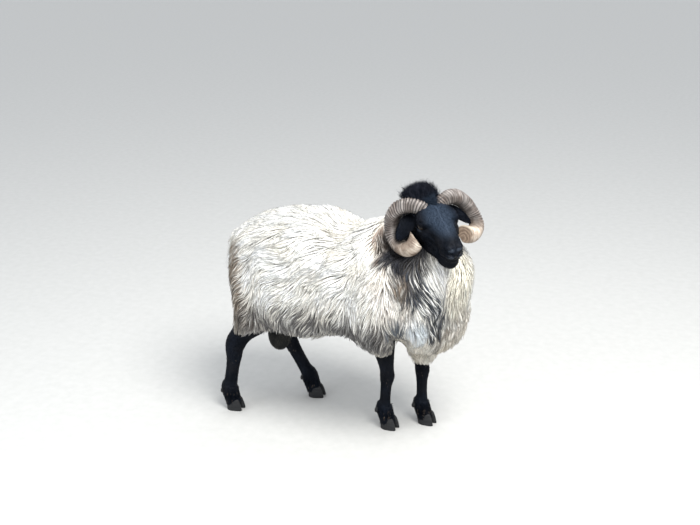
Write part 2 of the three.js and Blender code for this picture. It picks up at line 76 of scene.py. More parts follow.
def bell(x, middle, width):
    """1 at the middle, falling off to both sides over about the width."""
    return np.exp(-((x - middle) / width) ** 2)


def unit(v):
    return v / np.maximum(np.linalg.norm(v, axis=-1, keepdims=True), 1e-9)


def ripples(p, size, seed, count=7):
    """A smooth random field of about unit spread over points, with features of about that size."""
    rng = np.random.default_rng(seed)
    waves = unit(rng.normal(size=(count, 3))) * (2 * PI / size) * rng.uniform(0.6, 1.5, (count, 1))
    phases = rng.uniform(0, 2 * PI, count)
    total = np.zeros(p.shape[:-1])
    for wave, phase in zip(waves, phases):
        total += np.sin(p @ wave + phase)
    return total / np.sqrt(count / 2)


def near(p, centre, radii, edge=0.5):
    """1 inside an ellipsoid about centre, falling to 0 over the outer edge part of its radii."""
    r = np.linalg.norm((p - np.array(centre)) / np.array(radii), axis=-1)
    return 1 - smooth((r - (1 - edge)) / edge)


# ------------------------------------------------------------------ distance fields
def ellipsoid(centre, radii, turn=0, pitch=0):
    """An ellipsoid turned to its left, then its front pitched down, in degrees."""
    c, s, cp, sp = cosd(turn), sind(turn), cosd(pitch), sind(pitch)
    ra, rb, rc = radii

    def field(x, y, z):
        dx, dy, dz = x - centre[0], y - centre[1], z - centre[2]
        along, side = dx * c + dy * s, dy * c - dx * s
        u, w = along * cp - dz * sp, along * sp + dz * cp
        r = np.sqrt((u / ra) ** 2 + (side / rb) ** 2 + (w / rc) ** 2)
        slope = np.sqrt((u / ra**2) ** 2 + (side / rb**2) ** 2 + (w / rc**2) ** 2)
        return r * (r - 1) / np.maximum(slope, 1e-6)

    return field


def limb(a, b, ra, rb):
    """A round limb from a to b, its radius going from ra to rb."""
    d = np.subtract(b, a)

    def field(x, y, z):
        px, py, pz = x - a[0], y - a[1], z - a[2]
        t = np.clip((px * d[0] + py * d[1] + pz * d[2]) / (d @ d), 0, 1)
        return np.sqrt((px - d[0] * t) ** 2 + (py - d[1] * t) ** 2 + (pz - d[2] * t) ** 2) - mix(ra, rb, t)

    return field


def union(blend, *fields):
    """The fields joined, with the creases between them filled over about blend."""
    def field(x, y, z):
        d = fields[0](x, y, z)
        for other in fields[1:]:
            e = other(x, y, z)
            h = np.maximum(blend - np.abs(d - e), 0) / blend
            d = np.minimum(d, e) - h * h * blend / 4
        return d

    return field


def less(blend, field, *cuts):
    """field with the cuts taken out, their rims rounded over about blend."""
    inverse = union(blend, lambda x, y, z: -field(x, y, z), *cuts)
    return lambda x, y, z: -inverse(x, y, z)


def chain(blend, *stations):
    """Limbs from station to station, each a point and a radius."""
    return union(blend, *(limb(p, q, rp, rq) for (p, rp), (q, rq) in zip(stations, stations[1:])))


def both(make):
    """The left and right of a pair, from a function of the side, 1 or -1."""
    return [make(1), make(-1)]


def pair(centre, radii, turn=0, pitch=0):
    """A mirrored pair of ellipsoids, given by the left one."""
    x, y, z = centre
    return both(lambda s: ellipsoid([x, s * y, z], radii, s * turn, pitch))


# ------------------------------------------------------------------ grids and surfaces
def sampled(field, low, high, cell):
    """A field's values on a grid of cells from low to past high, and the grid's low corner."""
    low = np.array(low, float)
    counts = np.ceil((np.array(high) - low) / cell).astype(int) + 1
    axes = [(low[i] + cell * np.arange(counts[i])).astype(np.float32) for i in range(3)]
    x, y, z = np.meshgrid(*axes, indexing="ij")
    return field(x, y, z).astype(np.float32), low


def surface(values, low, cell):
    """(points, triangles, quads) of the surface where values pass through 0."""
    grid = openvdb.FloatGrid(float(values.max()))
    grid.copyFromArray(np.ascontiguousarray(values))
    points, triangles, quads = grid.convertToPolygons(isovalue=0.0, adaptivity=0.0)
    return points * cell + low, triangles.astype(np.int64), quads.astype(np.int64)


class Distance:
    """The true distance to a surface, out to reach, on a grid."""

    def __init__(self, mesh, low, shape, cell, reach):
        points, triangles, quads = mesh
        moved = (points - low).astype(np.float32)
        grid = openvdb.FloatGrid.createLevelSetFromPolygons(
            moved, triangles=triangles.astype(np.uint32), quads=quads.astype(np.uint32),
            transform=openvdb.createLinearTransform(voxelSize=cell), halfWidth=reach / cell)
        self.values = np.full(shape, reach, np.float32)
        grid.copyToArray(self.values, ijk=(0, 0, 0))
        self.low, self.cell = low, cell
        self.slopes = [s.astype(np.float32) for s in np.gradient(self.values, cell)]

    def read(self, arrays, p):
        """Each array's value at the points p, from the eight grid points round each."""
        g = (p - self.low) / self.cell
        top = np.array(self.values.shape) - 1.001
        g = np.clip(g, 0, top)
        i = g.astype(int)
        f = g - i
        out = [np.zeros(len(p)) for _ in arrays]
        for corner in range(8):
            o = np.array([corner & 1, corner >> 1 & 1, corner >> 2])
            w = np.prod(np.where(o, f, 1 - f), axis=1)
            j = i + o
            for total, array in zip(out, arrays):
                total += w * array[j[:, 0], j[:, 1], j[:, 2]]
        return out

    def at(self, p):
        return self.read([self.values], p)[0]

    def normal(self, p):
        return unit(np.stack(self.read(self.slopes, p), axis=-1))


# ------------------------------------------------------------------ sizes of the body, as in the solids
BACK_TOP, BELLY, RUMP_X, CHEST_X, HALF_WIDTH = 719, 300, -311, 450, 222
MIDDLE, HALF = (RUMP_X + CHEST_X) / 2, (CHEST_X - RUMP_X) / 2
SQUARENESS, REAR_SQUARENESS = 2.7, 3.6  # powers of the barrel's section: 2 is round
FORE_TURN, BEND = 16, 1.3  # degrees by which the forehand turns to the right, and how sharply
POLL, TURN, PITCH, TILT = (368, -92, 840), -50, 19, 9  # the head's place and its angles in degrees


def sideways(x):
    """How far the body's middle line lies to the left at x."""
    beyond = np.maximum(x - 60, 0)
    return -0.5 * np.tan(np.radians(FORE_TURN)) * beyond * smooth(beyond / 260) * BEND


def barrel(x, y, z):
    """The trunk, its back hollow behind the withers and its belly rising to the rear."""
    t = (x - MIDDLE) / HALF
    front, rear = smooth((t + 0.1) / 0.9), smooth((-t - 0.35) / 0.65)
    top = BACK_TOP - 26 * front - 36 * smooth(1 - np.abs(x - 125) / 130)
    bottom = BELLY + 8 * front + 62 * rear + 28 * smooth(1 - np.abs(x - 110) / 130)
    width = HALF_WIDTH - 16 * front - 18 * rear
    side = np.abs((y - sideways(x)) / width)
    up = np.abs((z - (top + bottom) / 2) / ((top - bottom) / 2))
    lengthwise = np.abs(t) ** np.where(t < 0, REAR_SQUARENESS, SQUARENESS)
    r = (lengthwise + side**SQUARENESS + up**SQUARENESS) ** (1 / SQUARENESS)
    return (r - 1) * 200


fleece = union(
    70, barrel,
    ellipsoid([240, -98, 480], [108, 106, 165], -16, -6),  # right shoulder
    ellipsoid([275, 62, 455], [118, 110, 170], -16, -4),  # left shoulder
    ellipsoid([388, -14, 422], [110, 122, 132], -22),  # brisket
    limb([262, -34, 540], [345, -86, 770], 148, 62),  # neck
    ellipsoid([220, -44, 636], [104, 78, 100], -20, -12),  # withers
    ellipsoid([403, -80, 592], [110, 128, 138], -30),  # ruff
    ellipsoid([354, -88, 822], [40, 48, 44], -50))  # poll


def breech(y, x, foot):
    """The wool of a thigh, down to its end at foot."""
    return chain(40, ([x, y * 0.9, 480], 100), ([mix(x, foot[0], 0.2), y, 396], 78), (foot, 42))


def sleeve(top, bottom, r):
    """The wool of a forearm, ending in radius r."""
    return chain(30, (top, 72), (bottom, r))


wool = union(
    45, fleece, breech(-104, -172, [-246, -95, 322]), breech(104, -170, [-166, 98, 324]),
    sleeve([250, -84, 410], [238, -62, 314], 48), sleeve([326, 56, 400], [334, 52, 257], 58))

# The head's own frame, x along the face, y left and z up, as a matrix into the ram's.
HEAD = np.array(Matrix.Translation(POLL) @ Matrix.Rotation(np.radians(TURN), 4, "Z")
                @ Matrix.Rotation(np.radians(PITCH), 4, "Y") @ Matrix.Rotation(np.radians(TILT), 4, "X"))


def out_of_head(p):
    return p @ HEAD[:3, :3].T + HEAD[:3, 3]


def into_head(p):
    return (p - HEAD[:3, 3]) @ HEAD[:3, :3]


def in_head(field):
    """A field of the head's frame as one of the ram's."""
    m, o = HEAD[:3, :3], HEAD[:3, 3]

    def turned(x, y, z):
        dx, dy, dz = x - o[0], y - o[1], z - o[2]
        return field(*(dx * m[0, i] + dy * m[1, i] + dz * m[2, i] for i in range(3)))

    return turned


alley = in_head(union(20, *pair([36, 112, -74], [98, 62, 82], 24)))  # the room round each horn's coil
tail = chain(20, ([-288, 0, 592], 34), ([-300, 2, 500], 31), ([-296, 4, 380], 20))


def parting(x, y, z):
    """The wool's gap between the right foreleg's sleeve and the brisket, open below."""
    a, b, half_gap = (338, -215, 410), (256, 35, 278), 23
    t = (y - a[1]) / (b[1] - a[1])
    across = np.abs(x - mix(a[0], b[0], t)) * 0.95 - half_gap
    above = (z - mix(a[2], b[2], t)) * 0.85
    return np.maximum(np.maximum(across, above), np.maximum(a[1] - y, y - b[1]))


coated = union(8, less(20, wool, alley, parting), lambda x, y, z: tail(x, y * 0.68, z))

BODY_CELL, REACH = 6.0, 66  # the grid's cell, and how far from the surface its distances go
BODY_LOW, BODY_HIGH = (-400, -300, 170), (580, 290, 920)
values, low = sampled(coated, BODY_LOW, BODY_HIGH, BODY_CELL)
outer = Distance(surface(values, low, BODY_CELL), low, values.shape, BODY_CELL, REACH)

COAT = 30  # the fleece's depth on the back and flanks, its locks lying over one another


def coat_depth(p):
    """How far the skin lies inside the tips of the coat."""
    x, z = p[..., 0], p[..., 2]
    depth = COAT - 7 * smooth((400 - z) / 110)
    tail_depth, neck_depth, throat_depth, groin_depth = 13, 24, 12, 17
    depth = mix(depth, tail_depth, near(p, (-300, 2, 480), (46, 62, 190)))
    depth = mix(depth, neck_depth, smooth((z - 690) / 90) * smooth((x - 150) / 60))
    throat = near(p, out_of_head(np.array([30, 0, -80])), (150, 170, 130), 0.4)
    depth = mix(depth, throat_depth, throat * 0.8)
    return mix(depth, groin_depth, near(p, (-158, 0, 300), (70, 60, 80)))


grid_points = np.stack(np.meshgrid(*(low[i] + BODY_CELL * np.arange(values.shape[i]) for i in range(3)),
                                   indexing="ij"), axis=-1)
skin_values = (outer.values + coat_depth(grid_points)).astype(np.float32)
body_mesh = surface(skin_values, low, BODY_CELL)
skin = Distance(body_mesh, low, values.shape, BODY_CELL, REACH + BODY_CELL)


# ------------------------------------------------------------------ meshes by hand
def halved(quads, triangles):
    return np.concatenate([quads[:, [0, 1, 2]], quads[:, [0, 2, 3]], triangles.reshape(-1, 3)])


def tube_faces(rings, sides):
    """Quads round a tube of rings, and a fan of triangles over each end."""
    s, r = np.meshgrid(np.arange(sides), np.arange(rings - 1))
    a, b = (r * sides + s).ravel(), (r * sides + (s + 1) % sides).ravel()
    k = np.arange(1, sides - 1)
    last = (rings - 1) * sides
    ends = np.concatenate([np.stack([0 * k, k + 1, k], 1),
                           np.stack([0 * k + last, k + last, k + 1 + last], 1)])
    return np.stack([a, b, b + sides, a + sides], axis=1), ends


def globe(rings, sides, pole):
    """Directions all round, ring by ring, from pole radians off +z to as far off -z."""
    v, a = np.linspace(pole, PI - pole, rings)[:, None], circle(sides)
    directions = np.broadcast_arrays(np.sin(v) * np.cos(a), np.sin(v) * np.sin(a), np.cos(v))
    return np.stack(directions, axis=2).reshape(-1, 3)


def outward(mesh):
    """The mesh with its faces turned to face out of the body, by the sign of its volume."""
    p, quads, ends = mesh
    t = halved(quads, ends)
    volume = (p[t[:, 0]] * np.cross(p[t[:, 1]], p[t[:, 2]])).sum()
    return mesh if volume > 0 else (p, quads[:, ::-1], ends[:, ::-1])


# ------------------------------------------------------------------ the head
EYE, BALL = np.array([96.0, 48.0, -43.0]), 14.5  # the left eyeball's centre and its radius
GAZE, LID_AXIS = unit(np.array([0.50, 0.82, 0.20])), unit(np.array([0.84, -0.52, 0.04]))
LID_THICK = 2.9
LID_OPEN, LID_LONG = 6.2, 16.5  # half the height and half the length of the gap between the lids


def lid_frame(s):
    """The eye's own axes in the head's frame: along the lids towards the nose, up, and out."""
    flip = np.array([1, s, 1])
    out, fore = GAZE * flip, LID_AXIS * flip
    fore = unit(fore - out * (fore @ out))
    rise = np.cross(out, fore)
    return fore, rise if rise[2] > 0 else -rise, out


def lid_gap(s):
    """A prism of almond section through the lids, in front of the ball."""
    fore, rise, out = lid_frame(s)
    c = EYE * [1, s, 1]

    def field(x, y, z):
        a, b, o = ((x - c[0]) * v[0] + (y - c[1]) * v[1] + (z - c[2]) * v[2] for v in (fore, rise, out))
        half = LID_OPEN * (1 - (np.abs(a + 0.5) / LID_LONG) ** 2.2)
        return np.maximum(np.abs(b + 0.4) - half, 4 - o) * 0.8

    return field


face = union(
    22, ellipsoid([46, 0, -52], [58, 50, 50]), ellipsoid([76, 0, -33], [52, 43, 30]),
    *pair([92, 43, -26], [28, 19, 13]), ellipsoid([132, 0, -42], [54, 31, 27]),
    *pair([94, 37, -66], [38, 19, 17]), limb([90, 0, -42], [186, 0, -52], 37, 28),
    *pair([92, 30, -84], [58, 26, 44]),
    *both(lambda s: limb([62, s * 28, -108], [172, s * 10, -112], 25, 19)),
    ellipsoid([192, 0, -72], [32, 29, 36]), ellipsoid([210, 0, -60], [18, 20, 18]),
    ellipsoid([189, 0, -116], [27, 22, 20]))
details = union(
    7, face,
    *pair([216, 18, -45], [13, 8.5, 7], -12, 10),  # wing of the nostril
    *pair([217, 12, -68], [16, 13, 9]),  # upper lip
    ellipsoid([204, 0, -90], [21, 20, 10]),  # lower lip
    *both(lambda s: limb([118, s * 46, -58], [160, s * 29, -60], 7, 5)),  # face crest
    *pair([66, 40, -92], [34, 17, 30]),  # jaw muscle
    *both(lambda s: limb([76, s * 53, -31], [112, s * 50, -28], 8, 7)))  # brow edge
lidded = union(5, details, *pair(EYE, [BALL + LID_THICK] * 3))
lidded = less(
    4, lidded,
    *both(lambda s: limb([70, s * 58, -30], [108, s * 57, -20], 2.2, 1.6)))  # crease over the upper lid
lidded = less(
    3, lidded,
    *both(lambda s: chain(3, ([234, s * 7, -62], 2.6), ([230, s * 14, -60], 4.8),
                          ([222, s * 22, -54], 5.2), ([209, s * 27, -46], 2.0))),  # nostril
    *both(lambda s: chain(3, ([231, 0, -75], 2.4), ([224, s * 14, -77], 2.6),
                          ([206, s * 26, -83], 2.6), ([174, s * 31, -92], 1.8))),  # mouth
    limb([238, 0, -58], [231, 0, -75], 2.2, 2.4))  # cleft from the nose to the lip
lidded = less(1.2, lidded, *both(lid_gap))


def ear_mesh(s):
    """A thin cupped leaf pointing out through the horn's coil, as (points, quads, ends)."""
    length, width, rings, sides, outwards, droop = 94, 27, 26, 20, 60, 24
    turn = np.array(Matrix.Rotation(s * np.radians(outwards), 3, "Z")
                    @ Matrix.Rotation(np.radians(droop), 3, "Y"))
    t, a = np.linspace(0, 1, rings)[:, None], circle(sides)
    leaf = np.sqrt(np.maximum(1 - np.abs(1.3 * t - 0.3) ** 2.2, 0.004)) * mix(0.62, 1, smooth(t / 0.35))
    across = width * leaf * np.cos(a)
    cup = 11 * (1 - t * 0.5) * (across / width) ** 2
    thick = mix(7, 2.0, smooth(t / 0.3)) * leaf**0.5
    points = np.stack([t * length + 0 * a, across, thick * np.sin(a) + cup - 4 * t * t + 0 * a], axis=2)
    points = points.reshape(-1, 3) @ turn.T + [32, s * 44, -50]
    return out_of_head(points), *tube_faces(rings, sides)


HEAD_CELL = 1.8
values, head_low = sampled(lidded, (-25, -80, -152), (245, 80, 14), HEAD_CELL)
head_points, head_triangles, head_quads = surface(values, head_low, HEAD_CELL)


# ------------------------------------------------------------------ the shins
# For each leg the height at which its wool ends, and stations from the foot up, each
# (x, y, z, fore-aft radius, side radius).
SHINS = {
    "fore_right": (288, [
        (244, -38, 22, 26, 25), (231, -38, 74, 25, 23), (234, -40, 98, 18, 17), (238, -44, 150, 18, 17.5),
        (242, -47, 190, 23, 21.5), (242, -52, 222, 23, 21), (238, -62, 272, 31, 28),
        (230, -80, 350, 48, 42)]),
    "fore_left": (229, [
        (351, 36, 22, 26, 25), (337, 36, 74, 25, 23), (338, 37, 98, 18, 17), (337, 39, 150, 18, 17.5),
        (336, 41, 190, 23, 21.5), (331, 44, 222, 23, 21), (322, 50, 272, 31, 28),
        (302, 62, 350, 48, 42)]),
    "hind_right": (298, [
        (-298, -92, 22, 27, 25), (-311, -92, 78, 28, 24), (-305, -92, 108, 23, 19), (-293, -92, 180, 24, 20),
        (-284, -92, 242, 34, 24), (-255, -94, 290, 37, 27), (-218, -98, 338, 54, 38)]),
    "hind_left": (294, [
        (-72, 92, 22, 27, 25), (-90, 92, 78, 28, 24), (-109, 92, 108, 23, 19), (-152, 93, 180, 25, 20),
        (-192, 94, 246, 38, 24), (-182, 96, 290, 41, 27), (-146, 98, 338, 54, 38)]),
}
# Each hoof's place on the floor and the angle in degrees that it points to the left of +x.
HOOVES = {"fore_right": (248, -38, -12), "fore_left": (356, 36, -14), "hind_right": (-294, -92, -4),
          "hind_left": (-66, 92, 2)}


def spline(stations, t):
    """Catmull-Rom through the stations at each t from 0 to 1."""
    p = np.array(stations, float)
    p = np.concatenate([2 * p[:1] - p[1:2], p, 2 * p[-1:] - p[-2:-1]])
    u = np.clip(t, 0, 1) * (len(stations) - 1)
    i = np.minimum(u.astype(int), len(stations) - 2)
    f = (u - i)[:, None]
    a, b, c, d = (p[i + k] for k in range(4))
    second, third = 2 * a - 5 * b + 4 * c - d, 3 * b - a - 3 * c + d
    return 0.5 * (2 * b + (c - a) * f + second * f**2 + third * f**3)


def shin_mesh(stations, rings=64, sides=28):
    """A leg from its pastern up into the wool, as (points, quads, ends)."""
    t = np.linspace(0, 1, rings)
    line = spline(stations, t)
    middle, girth = line[:, :3], line[:, 3:]
    along = unit(np.gradient(middle, axis=0))
    fore = unit(np.cross([0.0, 1.0, 0.0], along))
    a, z = circle(sides), middle[:, 2:3]
    cannon = smooth((z - 86) / 22) * (1 - smooth((z - 172) / 25))
    groove = 1 - 0.17 * cannon * np.exp(-((np.cos(a) + 0.28) / 0.3) ** 2)  # between bone and tendon
    knee = 1 + 0.07 * bell(z, 196, 22) * np.clip(np.cos(a), 0, 1)
    fetlock = 1 + 0.08 * bell(z, 76, 14) * np.abs(np.cos(a)) ** 2
    scale = groove * knee * fetlock
    points = (middle[:, None] + fore[:, None] * (girth[:, :1] * np.cos(a) * scale)[..., None]
              + np.array([0, 1.0, 0]) * (girth[:, 1:] * np.sin(a) * scale)[..., None])
    return points.reshape(-1, 3), *tube_faces(rings, sides)


BAG = (-158, 0, 268)  # the scrotum's middle


def scrotum_mesh(rings=40, sides=48):
    """Two testes in one bag, with a groove between them behind and a narrow neck."""
    v, a = np.linspace(0.02, PI - 0.02, rings)[:, None], circle(sides)
    low = smooth((v - 1.2) / 0.8)
    r = np.sin(v) ** 0.85 * (1 - 0.12 * bell(np.sin(a), 0, 0.25) * low)
    x, y, z = 41 * r * np.cos(a), 39 * r * np.sin(a) * (1 + 0.05 * low), 61 * np.cos(v) + 0 * a
    points = np.stack([x + BAG[0], y + BAG[1], BAG[2] + z], axis=2).reshape(-1, 3)
    return points, *tube_faces(rings, sides)


# ------------------------------------------------------------------ meshes and materials
def new_object(name, points, faces, material):
    """An object of points in the ram's frame, in mm, and faces: arrays of triangles or quads."""
    faces = [f for f in faces if len(f)]
    mesh = bpy.data.meshes.new(name)
    mesh.vertices.add(len(points))
    mesh.vertices.foreach_set("co", ((points + SHIFT) / 1000).astype(np.float32).ravel())
    corners = np.concatenate([f.ravel() for f in faces])
    sizes = np.concatenate([np.full(len(f), f.shape[1]) for f in faces])
    mesh.loops.add(len(corners))
    mesh.loops.foreach_set("vertex_index", corners.astype(np.int32))
    mesh.polygons.add(len(sizes))
    mesh.polygons.foreach_set("loop_start", (np.cumsum(sizes) - sizes).astype(np.int32))
    mesh.update(calc_edges=True)
    mesh.validate()
    mesh.polygons.foreach_set("use_smooth", np.ones(len(mesh.polygons), bool))
    mesh.materials.append(material)
    made = bpy.data.objects.new(name, mesh)
    bpy.context.scene.collection.objects.link(made)
    return made


def solid(name, mesh, material):
    """A mesh as an object with its faces turned outward."""
    points, *faces = outward(mesh)
    return new_object(name, points, faces, material)


def give(made, name, values):
    """A value, vector or colour at each point, for the object's material to read."""
    kinds = {4: ("FLOAT_COLOR", "color"), 3: ("FLOAT_VECTOR", "vector")}
    kind, field = kinds.get(values.shape[-1], ("FLOAT", "value"))
    attribute = made.data.attributes.new(name, kind, "POINT")
    attribute.data.foreach_set(field, values.astype(np.float32).ravel())


class Nodes:
    """A material's nodes, made and joined by short calls."""

    def __init__(self, name):
        self.material = bpy.data.materials.new(name)
        self.material.use_nodes = True
        self.tree = self.material.node_tree
        self.shader = self.tree.nodes["Principled BSDF"]

    def make(self, kind, inputs=None, **settings):
        node = self.tree.nodes.new("ShaderNode" + kind)
        for key, value in settings.items():
            setattr(node, key, value)
        for key, value in (inputs or {}).items():
            self.put(node.inputs[key], value)
        return node

    def put(self, socket, value):
        if isinstance(value, bpy.types.NodeSocket):
            self.tree.links.new(value, socket)
        else:
            socket.default_value = value

    def attribute(self, name, output="Color"):
        return self.make("Attribute", attribute_name=name).outputs[output]

    def math(self, operation, a, b=0.0, c=0.0):
        return self.make("Math", {0: a, 1: b, 2: c}, operation=operation).outputs[0]

    def noise(self, vector, scale, detail=3.0, roughness=0.55):
        return self.make("TexNoise", {"Vector": vector, "Scale": scale, "Detail": detail,
                                      "Roughness": roughness}).outputs["Fac"]

    def stretched(self, vector, scale):
        return self.make("VectorMath", {0: vector, 1: scale}, operation="MULTIPLY").outputs[0]

    def ramp(self, value, *stops):
        node = self.make("ValToRGB", {0: value})
        while len(node.color_ramp.elements) < len(stops):
            node.color_ramp.elements.new(0.5)
        for element, (at, color) in zip(node.color_ramp.elements, stops):
            element.position, element.color = at, (*color, 1) if np.ndim(color) else (color,) * 3 + (1,)
        return node.outputs["Color"]

    def blend(self, a, b, amount, kind="MIX"):
        node = self.make("Mix", data_type="RGBA", blend_type=kind)
        for key, value in zip((0, 6, 7), (amount, a, b)):
            self.put(node.inputs[key], value)
        return node.outputs[2]

    def bump(self, height, strength, distance, over=None):
        inputs = {"Height": height, "Strength": strength, "Distance": distance}
        if over:
            inputs["Normal"] = over
        return self.make("Bump", inputs).outputs["Normal"]

    def finish(self, **inputs):
        for key, value in inputs.items():
            self.put(self.shader.inputs[key.replace("_", " ")], value)
        return self.material


def wool_material():
    n = Nodes("fleece")
    strand = n.attribute("strand", "Vector")
    fibres = n.noise(n.stretched(strand, (40.0, 3.0, 1.6)), 1.0, 2.0)
    tint = n.attribute("tint")
    shade = n.ramp(fibres, (0.3, 0.9), (0.62, 1.0))
    color = n.blend(tint, shade, 0.5, "MULTIPLY")
    return n.finish(Base_Color=color, Roughness=0.85, Specular_IOR_Level=0.15, Sheen_Weight=0.15,
                    Normal=n.bump(fibres, 0.4, 0.002))


def hair_material():
    n = Nodes("short_hair")
    strand = n.attribute("strand", "Vector")
    fibres = n.noise(n.stretched(strand, (30.0, 2.0, 1.2)), 1.0, 2.0)
    color = n.blend(n.attribute("tint"), n.ramp(fibres, (0.3, 0.55), (0.7, 1.0)), 0.6, "MULTIPLY")
    return n.finish(Base_Color=color, Roughness=0.45, Specular_IOR_Level=0.035,
                    Normal=n.bump(fibres, 0.4, 0.001))


def skin_material():
    n = Nodes("skin")
    place = n.make("NewGeometry").outputs["Position"]
    coarse = n.noise(place, 90.0, 4.0)
    fine = n.noise(place, 900.0, 3.0)
    color = n.blend(n.attribute("tint"), n.ramp(coarse, (0.3, 0.6), (0.7, 1.0)), 0.5, "MULTIPLY")
    normal = n.bump(fine, 0.5, 0.0008, n.bump(coarse, 0.35, 0.003))
    dry = n.math("MULTIPLY_ADD", fine, 0.2, 0.46)
    wet = n.attribute("wet", "Fac")
    return n.finish(Base_Color=color, Roughness=n.math("SUBTRACT", dry, n.math("MULTIPLY", wet, 0.28)),
                    Specular_IOR_Level=0.07, Normal=normal)


# ------------------------------------------------------------------ locks and tufts
def scatter(points, triangles, count, rng, weight):
    """count places on a mesh, spread evenly by area times weight, with their normals."""
    a, b, c = (points[triangles[:, i]] for i in range(3))
    cross = np.cross(b - a, c - a)
    share = np.linalg.norm(cross, axis=1) * weight((a + b + c) / 3)
    total = np.cumsum(share)
    at = (np.arange(count) + rng.uniform(0, 1, count)) / count * total[-1]
    chosen = np.searchsorted(total, at)
    u, v = rng.uniform(0, 1, (2, count))
    over = u + v > 1
    u, v = np.where(over, 1 - u, u)[:, None], np.where(over, 1 - v, v)[:, None]
    a, b, c = a[chosen], b[chosen], c[chosen]
    return a + u * (b - a) + v * (c - a), unit(cross[chosen])


def march(roots, normals, flow, distance, length, height, steps, rise, sink=4.0, stride=0.93, settle=0.85):
    """Paths that start sink under the skin at roots, follow flow along it, and stand height over it
    at their tips. stride is each step's share of an even one, and settle how much of what is
    missing to its height each step makes up."""
    p = roots - normals * sink
    path = [p]
    for k in range(1, steps + 1):
        n = distance.normal(p) if k > 1 else normals
        f = flow(p, n)
        f = unit(f - (f * n).sum(1, keepdims=True) * n)
        p = p + f * (length / steps)[:, None] * stride
        n = distance.normal(p)
        want = height * (k / steps) ** rise
        p = p + n * ((want - distance.at(p)) * settle)[:, None]
        path.append(p)
    return np.stack(path, axis=1)


def curl(paths, normals, across, reach, waves, phase, in_and_out=0.45):
    """Waves the paths from side to side, and a little in and out, more towards their tips."""
    k = np.linspace(0, 1, paths.shape[1])[None, :, None]
    swing = np.sin(2 * PI * waves[:, None, None] * k + phase[:, None, None]) * k**0.8
    lift = np.cos(2 * PI * waves[:, None, None] * k + phase[:, None, None] * 1.7) * k
    return paths + (across[:, None] * swing + normals[:, None] * lift * in_and_out) * reach[:, None, None]


def gather(paths, guides, amount, power=2.0):
    """Draws the paths' tips towards those of the guide paths nearest their roots."""
    tree = KDTree(len(guides))
    for i, g in enumerate(guides):
        tree.insert(g[0], i)
    tree.balance()
    nearest = np.array([tree.find(p)[1] for p in paths[:, 0]])
    pull = (np.linspace(0, 1, paths.shape[1]) ** power)[None, :, None] * amount[:, None, None]
    return paths + (guides[nearest] - paths) * pull, nearest


WIDTHS = np.array([0.75, 1.0, 1.0, 0.86, 0.58])  # a lock's width from its root to just before its tip
PATCH = 0.003  # the size of a lock's patch on its piece's OFBake map


def tufts(name, paths, normals, half_width, flat, tints, uv, material, sides=3):
    """One mesh of closed tapered locks along paths. tints holds a colour at each root and each tip."""
    count, rings = len(paths), paths.shape[1] - 1
    along = unit(np.gradient(paths, axis=1))
    side = unit(np.cross(normals[:, None], along))
    up = np.cross(along, side)
    taper = np.interp(np.linspace(0, 1, rings), np.linspace(0, 1, len(WIDTHS)), WIDTHS)
    a = circle(sides, 0.75)[0] + PI
    w = (half_width[:, None] * taper)[:, :, None, None]
    body = (paths[:, :rings, None] + side[:, :rings, None] * w * np.cos(a)[:, None]
            + up[:, :rings, None] * w * flat * np.sin(a)[:, None])
    each = rings * sides + 1
    points = np.concatenate([body.reshape(count, rings * sides, 3), paths[:, -1:]], axis=1).reshape(-1, 3)
    s, r = np.meshgrid(np.arange(sides), np.arange(rings - 1))
    this, other = (r * sides + s).ravel(), (r * sides + (s + 1) % sides).ravel()
    quads = np.stack([this, other, other + sides, this + sides], axis=1)
    last, step = (rings - 1) * sides, np.arange(sides)
    tip = np.stack([last + step, last + (step + 1) % sides, np.full(sides, rings * sides)], axis=1)
    cap = step[::-1][None]
    base = (np.arange(count) * each)[:, None, None]
    faces = [(base + f).reshape(-1, f.shape[1]) for f in (quads, tip, cap)]
    made = new_object(name, points, faces, material)

    k = np.append(np.repeat(np.linspace(0, 1, rings + 1)[:rings], sides), 1.0)
    ring = np.append(np.tile(np.arange(sides) / sides, rings), 0.5)
    shade = mix(tints[0][:, None], tints[1][:, None], smooth(k * 1.3)[None, :, None])
    give(made, "tint", np.concatenate([shade, np.ones((count, each, 1))], axis=2).reshape(-1, 4))
    own = np.random.default_rng(len(paths)).uniform(0, 50, count)
    strand = np.stack(np.broadcast_arrays(ring[None], k[None], own[:, None]), axis=2)
    give(made, "strand", strand.reshape(-1, 3))

    patch = np.stack([ring - 0.5, k - 0.5], axis=1) * PATCH
    spots = (uv[:, None] + patch[None]).reshape(-1, 2)
    layer = made.data.uv_layers.new(name="OFBake")
    corners = np.zeros(len(made.data.loops), np.int32)
    made.data.loops.foreach_get("vertex_index", corners)
    layer.data.foreach_set("uv", spots[corners].astype(np.float32).ravel())
    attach(made, "root")
    return made


def unwrapped(p, centre, radii):
    """Places on a square for points round a centre: their directions, folded out as an octahedron."""
    d = (p - np.array(centre)) / np.array(radii)
    d = d / np.abs(d).sum(axis=1, keepdims=True)
    a, b = d[:, 0], d[:, 1]
    folded = d[:, 2] < 0
    u = np.where(folded, (1 - np.abs(b)) * np.where(a < 0, -1, 1), a)
    v = np.where(folded, (1 - np.abs(a)) * np.where(b < 0, -1, 1), b)
    return 0.5 + 0.497 * np.stack([u, v], axis=1)


# ------------------------------------------------------------------ the fleece
rng = np.random.default_rng(11)
# The blue-white is white wool with painted shade in blue skylight.
WHITE, SKYLIT_SHADE_WHITE, BUTTER, CREAM = np.array([
    (0.97, 0.955, 0.91), (0.78, 0.84, 0.89), (0.92, 0.87, 0.74), (0.72, 0.64, 0.51)])
PINK, RUST, MUD = np.array([(0.42, 0.30, 0.24), (0.34, 0.265, 0.195), (0.085, 0.068, 0.055)])
GREY, SLATE, INK, DARK = np.array([
    (0.26, 0.25, 0.25), (0.15, 0.18, 0.22), (0.026, 0.032, 0.046), (0.016, 0.017, 0.024)])


